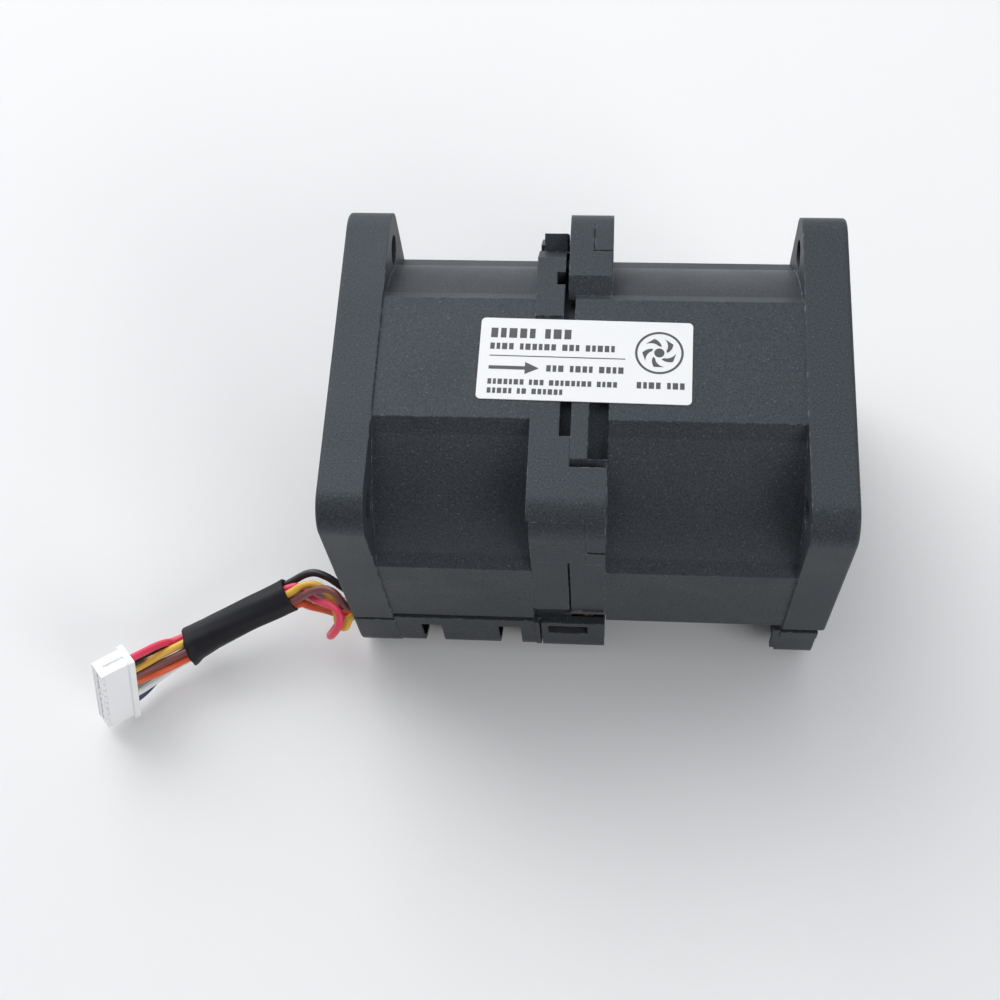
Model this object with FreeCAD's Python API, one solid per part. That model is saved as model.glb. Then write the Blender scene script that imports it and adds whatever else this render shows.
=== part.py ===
# Dual axial cooling fan for a server, 40 x 40 x 56 mm, with a short wire harness.
# Millimetres. X runs along the air path, Y away from the viewer, Z up.
# The origin is at the middle of the bottom of the two joined frames.
import FreeCAD, Part
import math
import os

from FreeCAD import Matrix
from FreeCAD import Placement
from FreeCAD import Vector

# Frames: overall sizes
SIDE = 40.0
LENGTH = 56.0
FRONT_LENGTH = 26.25
FLANGE_THICK = 5.0
FLANGE_CORNER_R = 3.5
FOOT_ROUNDER = 1.5
HOLE_INSET = 4.0
HOLE_R = 1.75
BODY_BULGE = 0.5
DUCT_WALL = 2.1
MOUTH_FLARE = 0.9
MOUTH_DEPTH = 2.6
PAD_INSET = 0.25
PAD_HALF = 7.4
PAD_FAR_HALF = 8.5
PAD_SLOPE_RUN = 1.4
RIM_FILLET = 0.4

# Frames: the joint between the two halves
COLLAR_FRONT = 4.35
COLLAR_REAR = 3.95
COLLAR_CORNER = 7.35
EAR_TOP_REACH = 6.95
EAR_SIDE_DROP = 9.8
EAR_GAP = 0.3
EAR_STEP = 0.2
PARTING_STEP = 0.1
PARTING_INSET = 0.3
SEAM_GAP = 0.24
SEAM_GAP_DEPTH = 0.8
FAR_EAR_TOP_REACH = 9.65
FAR_EAR_DROP = 10.0
FAR_EAR_REACH = 0.85
FAR_EAR_FOOT_REACH = 12.1
FAR_EAR_RAMP = 1.45
FAR_LUG_START = 0.6
FAR_LUG_CREST = (3.7, 0.7)
FAR_LUG_SIDE_DROP = 6.4
FAR_LUG_DROP = 10.0
TOP_GAP_WIDTH = 1.2
TOP_GAP_REACH = 10.5
GAP_FLOOR_WALL = 0.8
TOP_NOTCH_LENGTH = 0.9
TOP_NOTCH_INSET = 1.9
TOP_NOTCH_WIDTH = 1.6
RIM_BAR_WIDTH = 1.85
POCKET_CORNER = 7.9
POCKET_FAR = 5.0
HOOK_WIDTH = 2.0
HOOK_LINE = 0.14
HOOK_LINE_DEPTH = 0.12
HOOK_SLIT = 0.5
HOOK_SLIT_DEPTH = 0.9
HOOK_SLIT_DROP = 6.3
RELIEF = 0.15

# Frames: wire channel in the lower near corner
CHANNEL_SKIN = 0.9
LAYER_CLEAR = 0.175
LAYER_STEP = 1.08
CHANNEL_COVER = 0.427
LANE_STEP = 1.03
LEADS_PER_FAN = 4
CHANNEL_CLEAR = 0.08
LIP_THICK = 0.6
LIP_INSET = 0.12
LIP_TOP = 11.7
LIP_FOOT = 6.5
LIP_STRIP = 2.2
LIP_NOTCHES = ((3.0, 2.55), (12.4, 2.75))
SLOT_TOP = 11.65
SLOT_HEIGHT = 0.7
SLOT_DEPTH = 2.6
BLOCK_TOP = 15.8
BLOCK_RECESS_LOW = 11.6
BLOCK_RECESS_DEPTH = 1.3
BLOCK_SLIT_X = 0.55
BLOCK_SLIT = 0.25
WINDOW_X = -4.55
WINDOW_LENGTH = 4.75
WINDOW_LOW = 8.1
WINDOW_HEIGHT = 2.5
WINDOW_DEPTH = 2.6
FOOT_SLOT_TOP = 12.0
FOOT_SLOT_HEIGHT = 1.1
FOOT_BAND = 1.8
FOOT_STEP = 0.2
FOOT_INSET = 0.7
FOOT_REACH = 0.8
FOOT_THICK = 0.9

# Motor carrier in each frame
BASE_R = 11.0
BASE_THICK = 1.5
VANE_THICK = 1.3
VANE_LENGTH = 4.4
VANE_SEAT = 0.5
FRONT_VANES = 7
REAR_VANES = 8

# Motor, measured from the joint plane outward along the axis
TUBE_R = 4.0
TUBE_START = 0.2
TUBE_END = 15.3
SHAFT_R = 1.5
SHAFT_START = 1.0
BEARING_R = 3.0
BEARING_WIDTH = 2.5
BEARING_STARTS = (2.0, 12.6)
RING_WALL = 0.45
BALL_R = 0.5
BALL_COUNT = 7
BALL_CLEAR = 0.03
SEAT_CLEAR = 0.02
CLIP_R = 2.4
CLIP_THICK = 0.35
CLIP_GROOVE_R = 1.2
CLIP_GAP = 1.6
CLIP_PLAY = 0.05
SPRING_WIRE = 0.3
SPRING_TURNS = 3
BOARD_R = 9.6
BOARD_THICK = 0.8
CORE_START = 6.2
CORE_STACK = 6.0
CORE_R = 8.2
CORE_RING_R = 5.4
POLE_COUNT = 4
POLE_NECK = 2.2
POLE_SHOE_INNER = 7.1
POLE_SHOE_ANGLE = 72.0
INSULATOR_THICK = 0.8
INSULATOR_OVERHANG = 0.3
COIL_WALL = 0.85
COIL_CLEAR = 0.05
PIN_R = 0.35
PIN_CIRCLE_R = 4.75
CHIP_SIZE = (3.2, 3.0, 0.8)
CHIP_CIRCLE_R = 7.1
HALL_SIZE = (1.5, 1.6, 0.7)
HALL_CIRCLE_R = 8.4
CAPACITOR_SIZE = (0.8, 1.6, 0.7)
CAPACITOR_COUNT = 3
CAPACITOR_STEP = 14.0

# Rotor
HUB_R = 11.0
HUB_WALL = 1.0
HUB_TOP = 1.4
HUB_START = 5.2
HUB_RECESS = 1.6
HUB_NOSE_R = 1.6
BOSS_R = 3.4
BOSS_CLEAR = 1.7
BUSH_R = 2.6
YOKE_WALL = 0.6
YOKE_START = 5.8
MAGNET_WALL = 0.9
MAGNET_LENGTH = 8.0
TIP_CLEAR = 0.4
BLADE_START = 7.0
BLADE_RECESS = 2.6
BLADE_ROOT_THICK = 1.1
BLADE_TIP_THICK = 0.7
BLADE_EDGE = 0.35
BLADE_CAMBER = 0.11
FRONT_BLADES = 7
FRONT_ROOT_SWEEP = 5.0
FRONT_TIP_SWEEP = 11.0
REAR_BLADES = 5
REAR_ROOT_SWEEP = 6.0
REAR_TIP_SWEEP = 13.0

# Label
LABEL_LENGTH = 22.9
LABEL_WIDTH = 10.0
LABEL_THICK = 0.1
LABEL_X = -0.5
LABEL_Y = -0.3
LABEL_TURN = -0.8
LABEL_MARGIN = 0.4

# Harness
WIRE_D = 0.95
BEND_SHARE = 0.45
LEAD_BEND_R = 1.2
LEAD_BOARD_R = 8.6
SLEEVE_R = 2.1
SLEEVE_WALL = 0.25
SLEEVE_FAN_OFFSET = Vector(-8.8, -0.01, -0.03)
SLEEVE_PLUG_OFFSET = Vector(-21.4, -6.26, -3.03)
SLEEVE_FAN_EXIT = 0.6
SLEEVE_PLUG_EXIT = 1.2
BUNDLE_R = 1.32
BUNDLE_TWIST = -37.0
CONNECTOR_OFFSET = Vector(-27.33, -14.19, -6.89)
CONNECTOR_UP = Vector(1.45, 3.09, 9.4)
CONNECTOR_OUT = Vector(-7.32, -6.05, 3.12)
CONNECTOR_PITCH = 1.25
CONNECTOR_END_WALL = 1.3
CONNECTOR_THICK = 3.2
CONNECTOR_DEPTH = 4.3
CONNECTOR_PLATE = 0.8
CONNECTOR_STEP = 0.3
CAVITY_WIDTH = 1.0
CAVITY_HEIGHT = 1.7
TERMINAL_WIDTH = 0.86
TERMINAL_HEIGHT = 1.5
TERMINAL_LENGTH = 3.0
PIN_SLOT = 0.45
PIN_SLOT_DEPTH = 2.0
WIRE_ENTRY = 1.2
WIRE_HOLE_CLEAR = 0.06

# Derived places
ROOT_TWO = math.sqrt(2.0)
HALF = SIDE / 2.0
AXIS_Z = HALF
FRONT_X = -LENGTH / 2.0
REAR_X = LENGTH / 2.0
SEAM_X = FRONT_X + FRONT_LENGTH
REAR_LENGTH = LENGTH - FRONT_LENGTH
HOLE_PITCH = SIDE - 2.0 * HOLE_INSET
BODY_R = HALF + BODY_BULGE
BORE_R = BODY_R - DUCT_WALL
MOUTH_R = BORE_R + MOUTH_FLARE
GAP_FLOOR_R = BORE_R + GAP_FLOOR_WALL
PAD_FACE = HALF - PAD_INSET
COLLAR_HALF = HALF - COLLAR_CORNER
EAR_TOP_INNER = HALF - EAR_TOP_REACH
EAR_LOW = SIDE - EAR_SIDE_DROP
FAR_EAR_INNER = HALF - FAR_EAR_TOP_REACH
TOP_GAP_NEAR = HALF - TOP_GAP_REACH
POCKET_NEAR = HALF - POCKET_CORNER
COLLAR_FRONT_X = SEAM_X - COLLAR_FRONT
COLLAR_REAR_X = SEAM_X + COLLAR_REAR
WIRE_R = WIRE_D / 2.0
TIP_R = BORE_R - TIP_CLEAR
CHANNEL_FLOOR = BORE_R + CHANNEL_SKIN
LAYER_FIRST = CHANNEL_FLOOR + WIRE_R + LAYER_CLEAR
LAYERS = [LAYER_FIRST, LAYER_FIRST + LAYER_STEP]
LAYER_LOW = CHANNEL_FLOOR
LAYER_HIGH = LAYERS[-1] + WIRE_R + CHANNEL_CLEAR
LANE_HIGH = ROOT_TWO * (HALF - CHANNEL_COVER) - LAYER_HIGH
LANE_FIRST = LANE_HIGH - CHANNEL_CLEAR - WIRE_R - (LEADS_PER_FAN - 1) * LANE_STEP
LANES = [LANE_FIRST + lane * LANE_STEP for lane in range(LEADS_PER_FAN)]
LANE_LOW = LANE_FIRST - WIRE_R - CHANNEL_CLEAR
LEAD_OFFSET = BASE_THICK + WIRE_R + CHANNEL_CLEAR
BOARD_START = BASE_THICK + WIRE_D + 2.0 * CHANNEL_CLEAR
FAN_DIRECTION = {"front": -1.0, "rear": 1.0}
FAN_LENGTH = {"front": FRONT_LENGTH, "rear": REAR_LENGTH}
X_AXIS = Vector(1, 0, 0)
Z_AXIS = Vector(0, 0, 1)
OVERLAP = 1.0
CLOSE = 1e-6

os.makedirs("parts", exist_ok=True)


# Plain shapes

def block(x0, x1, y0, y1, z0, z1):
    return Part.makeBox(x1 - x0, y1 - y0, z1 - z0, Vector(x0, y0, z0))


def prism(outline, x0, x1):
    points = [Vector(x0, y, z) for y, z in outline]
    face = Part.Face(Part.makePolygon(points + [points[0]]))
    return face.extrude(Vector(x1 - x0, 0, 0))


def axial_cylinder(radius, x0, x1, y=0.0, z=AXIS_Z):
    return Part.makeCylinder(radius, x1 - x0, Vector(x0, y, z), X_AXIS)


def edges_along_x(shape):
    return [edge for edge in shape.Edges if abs(edge.tangentAt(edge.FirstParameter).x) > 1.0 - CLOSE]


def is_foot(edge):
    middle = edge.BoundBox.Center
    return middle.y < 0.0 and middle.z < AXIS_Z


def rounded_square(half, corner, x0, x1):
    # The lower near corner, where the foot is, is rounder than the others.
    box = block(x0, x1, -half, half, AXIS_Z - half, AXIS_Z + half)
    box = box.makeFillet(corner, [edge for edge in edges_along_x(box) if not is_foot(edge)])
    return box.makeFillet(corner + FOOT_ROUNDER, [edge for edge in edges_along_x(box) if is_foot(edge)])


def ring(outer, inner, start, end):
    length = end - start
    solid = Part.makeCylinder(outer, length, Vector(0, 0, start))
    return solid.cut(Part.makeCylinder(inner, length, Vector(0, 0, start)))


def turned(shape, angle):
    copy = shape.copy()
    copy.rotate(Vector(0, 0, AXIS_Z), X_AXIS, angle)
    return copy


def fused(shapes):
    whole = shapes[0]
    for shape in shapes[1:]:
        whole = whole.fuse(shape)
    return whole.removeSplitter()


def channel_point(x, layer, lane):
    # The layer counts from the fan axis towards the lower near corner.
    # The lane runs across it, up towards the near side.
    return Vector(x, -(layer + lane) / ROOT_TWO, AXIS_Z - (layer - lane) / ROOT_TWO)


def channel_block(x0, x1, layer0, layer1, lane0, lane1):
    corners = [(layer0, lane0), (layer1, lane0), (layer1, lane1), (layer0, lane1)]
    points = [channel_point(x0, layer, lane) for layer, lane in corners]
    return prism([(point.y, point.z) for point in points], x0, x1)


def on_axis(shape, fan):
    # Turns a motor piece, built along Z from the joint plane, onto the fan axis.
    copy = shape.copy()
    copy.rotate(Vector(0, 0, 0), Vector(0, 1, 0), 90.0 * FAN_DIRECTION[fan])
    copy.translate(Vector(SEAM_X, 0, AXIS_Z))
    return copy


def along(fan, start, end):
    ends = [SEAM_X + FAN_DIRECTION[fan] * start, SEAM_X + FAN_DIRECTION[fan] * end]
    return min(ends), max(ends)


def keep(name, shape):
    shape.exportStep("parts/" + name + ".step")


# Frame shells

def pad(half, x0, x1):
    # A raised flat on the barrel, with slopes that run down to the barrel's own surface.
    foot = half + PAD_SLOPE_RUN
    top = AXIS_Z + PAD_FACE
    low = AXIS_Z + math.sqrt(BODY_R ** 2 - foot ** 2)
    return prism([(-half, top), (half, top), (foot, low), (-foot, low)], x0, x1)


def body_shell(x0, x1):
    barrel = axial_cylinder(BODY_R, x0, x1)
    barrel = barrel.common(block(x0, x1, -PAD_FACE, PAD_FACE, AXIS_Z - PAD_FACE, AXIS_Z + PAD_FACE))
    halves = [PAD_HALF, PAD_HALF, PAD_HALF, PAD_FAR_HALF]
    pads = [turned(pad(half, x0, x1), quarter * 90.0) for quarter, half in enumerate(halves)]
    return fused([barrel] + pads)


def screw_holes(x0, x1):
    offsets = [-HOLE_PITCH / 2.0, HOLE_PITCH / 2.0]
    return fused([axial_cylinder(HOLE_R, x0, x1, y, AXIS_Z + z) for y in offsets for z in offsets])


def flange(x0, x1, outer_x):
    plate = rounded_square(HALF, FLANGE_CORNER_R, x0, x1)
    rim = [edge for edge in plate.Edges if abs(edge.BoundBox.Center.x - outer_x) < CLOSE]
    plate = plate.makeFillet(RIM_FILLET, rim)
    return plate.cut(screw_holes(x0, x1))


def corner_wedge(x0, x1, top_inner, side_drop, near):
    # The part of an upper corner beyond a slanting line from the top face to the side face.
    side = -1.0 if near else 1.0
    outline = [(side * top_inner, SIDE), (side * HALF, SIDE), (side * HALF, SIDE - side_drop)]
    square = rounded_square(HALF, FLANGE_CORNER_R, x0, x1)
    return square.common(prism(outline, x0, x1))


def collar(x0, x1, cut_corners):
    ring_shape = rounded_square(HALF, FLANGE_CORNER_R, x0, x1)
    reach = HALF - COLLAR_HALF
    outline = [(HALF - reach, SIDE), (HALF, SIDE), (HALF, SIDE - reach)]
    for quarter in cut_corners:
        ring_shape = ring_shape.cut(turned(prism(outline, x0, x1), quarter * 90.0))
    return ring_shape


def duct_cut(x0, x1, outer_x):
    bore = axial_cylinder(BORE_R, x0, x1)
    inward = 1.0 if outer_x < SEAM_X else -1.0
    mouth = Part.makeCone(MOUTH_R, BORE_R, MOUTH_DEPTH, Vector(outer_x, 0, AXIS_Z), Vector(inward, 0, 0))
    return bore.fuse(mouth)


def lead_direction():
    layer = sum(LAYERS) / len(LAYERS)
    lane = sum(LANES) / len(LANES)
    return (channel_point(0.0, layer, lane) - Vector(0, 0, AXIS_Z)).normalize()


def lead_angle():
    direction = lead_direction()
    return math.degrees(math.atan2(direction.z, direction.y))


def radial_block(x0, x1, inner, outer, width):
    return block(x0, x1, inner, outer, AXIS_Z - width / 2.0, AXIS_Z + width / 2.0)


def motor_carrier(fan, vanes):
    base = axial_cylinder(BASE_R, *along(fan, 0.0, BASE_THICK))
    pieces = [base]
    vane_x0, vane_x1 = along(fan, 0.0, VANE_LENGTH)
    for vane in range(1, vanes):
        arm = radial_block(vane_x0, vane_x1, BASE_R - VANE_SEAT, BORE_R + VANE_SEAT, VANE_THICK)
        pieces.append(turned(arm, lead_angle() + vane * 360.0 / vanes))
    shelf_x0, shelf_x1 = along(fan, 0.0, BASE_THICK)
    shelf_width = LANE_HIGH - LANE_LOW + 2.0 * VANE_THICK
    shelf = radial_block(shelf_x0, shelf_x1, BASE_R - OVERLAP, BORE_R + VANE_SEAT, shelf_width)
    pieces.append(turned(shelf, lead_angle()))
    carrier = fused(pieces)
    return carrier.cut(axial_cylinder(TUBE_R, *along(fan, 0.0, BASE_THICK)))


def lead_port(fan):
    # The hole in the duct wall that the leads of one motor pass through.
    x0, x1 = along(fan, BASE_THICK, BOARD_START + LEAD_BEND_R)
    width = LANE_HIGH - LANE_LOW + 2.0 * CHANNEL_CLEAR
    hole = radial_block(x0, x1, BORE_R - OVERLAP, LAYER_HIGH, width)
    return turned(hole, lead_angle())


def skin(inset, thick, x0, x1):
    # A thin shell along the faces and rounded corners of the square.
    outer = rounded_square(HALF - inset, FLANGE_CORNER_R - inset, x0, x1)
    depth = inset + thick
    return outer.cut(rounded_square(HALF - depth, FLANGE_CORNER_R - depth, x0, x1))


def lip():
    wall = skin(LIP_INSET, LIP_THICK, FRONT_X + FLANGE_THICK, COLLAR_FRONT_X)
    wall = wall.common(block(FRONT_X, SEAM_X, -HALF, -HALF + LIP_FOOT, 0.0, LIP_TOP))
    start = FRONT_X + FLANGE_THICK
    for offset, width in LIP_NOTCHES:
        notch_x = start + offset
        gap = block(notch_x, notch_x + width, -HALF, -HALF + LIP_FOOT, 0.0, LIP_TOP - LIP_STRIP)
        wall = wall.cut(gap)
    return wall


def near_ear():
    ear = corner_wedge(SEAM_X, COLLAR_REAR_X, EAR_TOP_INNER, EAR_SIDE_DROP, True)
    slit_z = SIDE - HOOK_SLIT_DROP
    line_x = COLLAR_REAR_X - HOOK_WIDTH
    return ear.cut(block(line_x, COLLAR_REAR_X, -HALF, -HALF + HOOK_SLIT_DEPTH, slit_z - HOOK_SLIT, slit_z))


def parting():
    # Below the parting line, at the middle of the rounded corner, the near ear is set in a little.
    line_x = COLLAR_REAR_X - HOOK_WIDTH
    from_face = FLANGE_CORNER_R * (1.0 - 1.0 / ROOT_TWO)
    line_z = SIDE - from_face
    low = block(COLLAR_FRONT_X, line_x, -HALF, -HALF + from_face, EAR_LOW, line_z)
    step = skin(0.0, PARTING_STEP, COLLAR_FRONT_X, COLLAR_REAR_X).common(low)
    inset_end = COLLAR_FRONT_X + PARTING_INSET
    inset = block(COLLAR_FRONT_X, inset_end, -HALF, -COLLAR_HALF, BLOCK_TOP, line_z)
    return step.fuse(inset.cut(body_shell(COLLAR_FRONT_X, inset_end)))


def seam_recess(x0, x1):
    # Under the near ear the collar is set in, with a gap where the two frames meet.
    recess = block(x0, x1, -HALF, -HALF + EAR_STEP, BLOCK_TOP, EAR_LOW)
    half_gap = SEAM_GAP / 2.0
    gap = block(SEAM_X - half_gap, SEAM_X + half_gap, -HALF, -HALF + SEAM_GAP_DEPTH, BLOCK_TOP, EAR_LOW)
    return recess.fuse(gap)


def far_lug():
    # The latch nose of the front frame at the far upper corner: a ramp up to a crest, round a screw hole.
    crest_y = HALF - FAR_LUG_CREST[0]
    crest_z = SIDE - FAR_LUG_CREST[1]
    foot = (COLLAR_HALF, AXIS_Z + math.sqrt(BODY_R ** 2 - COLLAR_HALF ** 2))
    outline = [foot, (crest_y, crest_z), (HALF, SIDE - FAR_LUG_SIDE_DROP)]
    outline += [(HALF, SIDE - FAR_LUG_DROP), (COLLAR_HALF, SIDE - FAR_LUG_DROP)]
    return prism(outline, COLLAR_FRONT_X + FAR_LUG_START, SEAM_X - FAR_EAR_REACH - EAR_GAP)


def top_gap():
    # The gap between the front collar and the rear rim, with a notch near its far end.
    gap_x = SEAM_X - TOP_GAP_WIDTH
    far_end = COLLAR_HALF + FAR_EAR_RAMP + EAR_GAP
    gap = block(gap_x, SEAM_X, -TOP_GAP_NEAR, far_end, AXIS_Z, SIDE)
    notch_far = COLLAR_HALF - TOP_NOTCH_INSET
    notch_near = notch_far - TOP_NOTCH_WIDTH
    gap = gap.fuse(block(gap_x - TOP_NOTCH_LENGTH, gap_x, notch_near, notch_far, AXIS_Z, SIDE))
    return gap.cut(axial_cylinder(GAP_FLOOR_R, COLLAR_FRONT_X, SEAM_X))


def cable_block():
    square = rounded_square(HALF, FLANGE_CORNER_R, SEAM_X, COLLAR_REAR_X)
    outline = [(-HALF, BLOCK_TOP), (-HALF, 0.0), (-COLLAR_HALF, 0.0), (-COLLAR_HALF, BLOCK_TOP)]
    corner = square.common(prism(outline, SEAM_X, COLLAR_REAR_X))
    return corner.cut(axial_cylinder(BODY_R + EAR_GAP, SEAM_X, COLLAR_REAR_X))


def label_seat():
    seat = AXIS_Z + PAD_FACE
    half_x = LABEL_LENGTH / 2.0 + LABEL_MARGIN
    half_y = LABEL_WIDTH / 2.0 + LABEL_MARGIN
    room = block(-half_x, half_x, -half_y, half_y, seat, SIDE + OVERLAP)
    room.translate(Vector(LABEL_X, LABEL_Y, 0))
    return room


def front_frame():
    inner_x = FRONT_X + FLANGE_THICK
    shell = fused([
        flange(FRONT_X, inner_x, FRONT_X),
        body_shell(inner_x, SEAM_X),
        collar(COLLAR_FRONT_X, SEAM_X, (0, 3)),
    ])
    shell = shell.cut(channel_block(inner_x, COLLAR_FRONT_X, LAYER_LOW, BODY_R + HALF, LANE_LOW, HALF))
    shell = fused([shell, lip(), near_ear(), cable_block(), far_lug()])
    shell = shell.cut(channel_block(FRONT_X, COLLAR_REAR_X, LAYER_LOW, LAYER_HIGH, LANE_LOW, LANE_HIGH))
    slot_low = SLOT_TOP - SLOT_HEIGHT
    shell = shell.cut(block(FRONT_X, inner_x, -HALF, -HALF + SLOT_DEPTH, slot_low, SLOT_TOP))
    recess_y = -HALF + BLOCK_RECESS_DEPTH
    shell = shell.cut(block(COLLAR_FRONT_X, COLLAR_REAR_X, -HALF, recess_y, BLOCK_RECESS_LOW, BLOCK_TOP))
    window_end = WINDOW_X + WINDOW_LENGTH
    window_top = WINDOW_LOW + WINDOW_HEIGHT
    shell = shell.cut(block(WINDOW_X, window_end, -HALF, -HALF + WINDOW_DEPTH, WINDOW_LOW, window_top))
    slit_x = COLLAR_FRONT_X + BLOCK_SLIT_X
    slit = skin(0.0, LIP_THICK, slit_x, slit_x + BLOCK_SLIT)
    slit = slit.common(block(FRONT_X, SEAM_X, -HALF, -HALF + LIP_FOOT, 0.0, BLOCK_RECESS_LOW))
    shell = shell.cut(slit).cut(parting()).cut(seam_recess(COLLAR_FRONT_X, SEAM_X))
    shell = shell.cut(screw_holes(COLLAR_FRONT_X, COLLAR_REAR_X))
    shell = shell.cut(top_gap()).cut(label_seat())
    shell = shell.cut(duct_cut(FRONT_X, SEAM_X, FRONT_X))
    shell = shell.fuse(motor_carrier("front", FRONT_VANES))
    return shell.cut(lead_port("front")).removeSplitter()


def far_ear():
    # An ear with a ramp on its near end; its tongue reaches over the cut corner of the front collar.
    tongue_x = SEAM_X - FAR_EAR_REACH
    square = rounded_square(HALF, FLANGE_CORNER_R, tongue_x, COLLAR_REAR_X)
    ramp_foot = (HALF - FAR_EAR_FOOT_REACH, SIDE - FAR_EAR_RAMP)
    top = [ramp_foot, (FAR_EAR_INNER, SIDE), (HALF, SIDE)]
    ear = square.common(prism(top + [(HALF, SIDE - FAR_EAR_DROP)], SEAM_X, COLLAR_REAR_X))
    under = COLLAR_HALF + EAR_GAP
    tongue_low = [(HALF, SIDE - HALF + under), (under + FAR_EAR_RAMP, SIDE - FAR_EAR_RAMP)]
    tongue = square.common(prism(top + tongue_low, tongue_x, SEAM_X))
    line_x = COLLAR_REAR_X - HOOK_WIDTH
    line_y = HALF - HOOK_SLIT_DROP
    line = block(line_x - HOOK_LINE, line_x, line_y - HOOK_LINE, HALF, SIDE - HOOK_LINE_DEPTH, SIDE)
    cross = block(line_x, COLLAR_REAR_X, line_y - HOOK_LINE, line_y, SIDE - HOOK_LINE_DEPTH, SIDE)
    return ear.fuse(tongue).cut(line).cut(cross)


def rear_foot(x0, x1):
    # A foot under the wire groove at the lower near corner of the rear flange, set back at its outer edge.
    low = FOOT_SLOT_TOP - FOOT_SLOT_HEIGHT
    near = -HALF - OVERLAP
    groove = block(x0, x1 + OVERLAP, near, -HALF + FOOT_INSET, low, FOOT_SLOT_TOP)
    edge = block(x1 - FOOT_INSET, x1 + OVERLAP, near, -HALF + FLANGE_CORNER_R, -OVERLAP, low)
    below = block(x0, x1, near, -HALF + FLANGE_CORNER_R, 0.0, low - FOOT_BAND)
    band = skin(0.0, FOOT_STEP, x0, x1).common(below)
    reach_low = FLANGE_CORNER_R + FOOT_ROUNDER
    reach = block(x0 - FOOT_REACH, x0 + OVERLAP, -HALF + FOOT_STEP, -HALF + FOOT_THICK, reach_low, low)
    return groove.fuse(edge).fuse(band), reach


def rear_frame():
    inner_x = REAR_X - FLANGE_THICK
    shell = fused([
        flange(inner_x, REAR_X, REAR_X),
        body_shell(SEAM_X, inner_x),
        collar(SEAM_X, COLLAR_REAR_X, (0, 1, 3)),
    ])
    near_room = corner_wedge(SEAM_X, COLLAR_REAR_X, POCKET_NEAR, EAR_SIDE_DROP + EAR_GAP, True)
    shell = shell.cut(near_room)
    room_end = COLLAR_REAR_X + RELIEF
    low_room = block(SEAM_X, room_end, -HALF, -COLLAR_HALF + EAR_GAP, 0.0, BLOCK_TOP + EAR_GAP)
    low_room = low_room.cut(axial_cylinder(BODY_R, SEAM_X, room_end))
    shell = shell.cut(low_room)
    far_room = block(SEAM_X, COLLAR_REAR_X, POCKET_FAR, FAR_EAR_INNER, AXIS_Z, SIDE)
    shell = shell.cut(far_room.cut(body_shell(SEAM_X, COLLAR_REAR_X)))
    shell = shell.fuse(far_ear())
    pocket_x = SEAM_X + RIM_BAR_WIDTH
    pocket = block(pocket_x, COLLAR_REAR_X, -POCKET_NEAR, -POCKET_FAR, AXIS_Z, SIDE)
    shell = shell.cut(pocket.cut(axial_cylinder(GAP_FLOOR_R, SEAM_X, COLLAR_REAR_X)))
    shell = shell.cut(seam_recess(SEAM_X, COLLAR_REAR_X))
    shell = shell.cut(screw_holes(SEAM_X - FAR_EAR_REACH, COLLAR_REAR_X))
    trim, reach = rear_foot(inner_x, REAR_X)
    shell = shell.cut(trim).fuse(reach)
    shell = shell.cut(channel_block(SEAM_X, COLLAR_REAR_X, LAYER_LOW, LAYER_HIGH, LANE_LOW, LANE_HIGH))
    shell = shell.cut(label_seat())
    shell = shell.cut(duct_cut(SEAM_X, REAR_X, REAR_X))
    shell = shell.fuse(motor_carrier("rear", REAR_VANES))
    return shell.cut(lead_port("rear"))


def label():
    seat = AXIS_Z + PAD_FACE
    half_x = LABEL_LENGTH / 2.0
    half_y = LABEL_WIDTH / 2.0
    sheet = block(-half_x, half_x, -half_y, half_y, seat, seat + LABEL_THICK)
    sheet.rotate(Vector(0, 0, 0), Z_AXIS, LABEL_TURN)
    sheet.translate(Vector(LABEL_X, LABEL_Y, 0))
    return sheet


# Motor pieces, built along Z from the joint plane

def bearing_tube():
    return ring(TUBE_R, BEARING_R, TUBE_START, TUBE_END)


def ball_track(start):
    middle = start + BEARING_WIDTH / 2.0
    pitch = (SHAFT_R + BEARING_R) / 2.0
    return Part.makeTorus(pitch, BALL_R + BALL_CLEAR, Vector(0, 0, middle))


def outer_rings():
    rings = []
    for start in BEARING_STARTS:
        race = ring(BEARING_R - SEAT_CLEAR, BEARING_R - RING_WALL, start, start + BEARING_WIDTH)
        rings.append(race.cut(ball_track(start)))
    return Part.makeCompound(rings)


def inner_rings():
    rings = []
    for start in BEARING_STARTS:
        race = ring(SHAFT_R + RING_WALL, SHAFT_R + SEAT_CLEAR, start, start + BEARING_WIDTH)
        rings.append(race.cut(ball_track(start)))
    return Part.makeCompound(rings)


def bearing_balls():
    pitch = (SHAFT_R + BEARING_R) / 2.0
    balls = []
    for start in BEARING_STARTS:
        for ball in range(BALL_COUNT):
            turn = 2.0 * math.pi * ball / BALL_COUNT
            centre = Vector(pitch * math.cos(turn), pitch * math.sin(turn), start + BEARING_WIDTH / 2.0)
            balls.append(Part.makeSphere(BALL_R, centre))
    return Part.makeCompound(balls)


def pole_pattern(shape):
    poles = []
    for pole in range(POLE_COUNT):
        copy = shape.copy()
        copy.rotate(Vector(0, 0, 0), Z_AXIS, pole * 360.0 / POLE_COUNT)
        poles.append(copy)
    return poles


def neck_bar(width, inner, outer, start, end):
    return Part.makeBox(outer - inner, width, end - start, Vector(inner, -width / 2.0, start))


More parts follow.
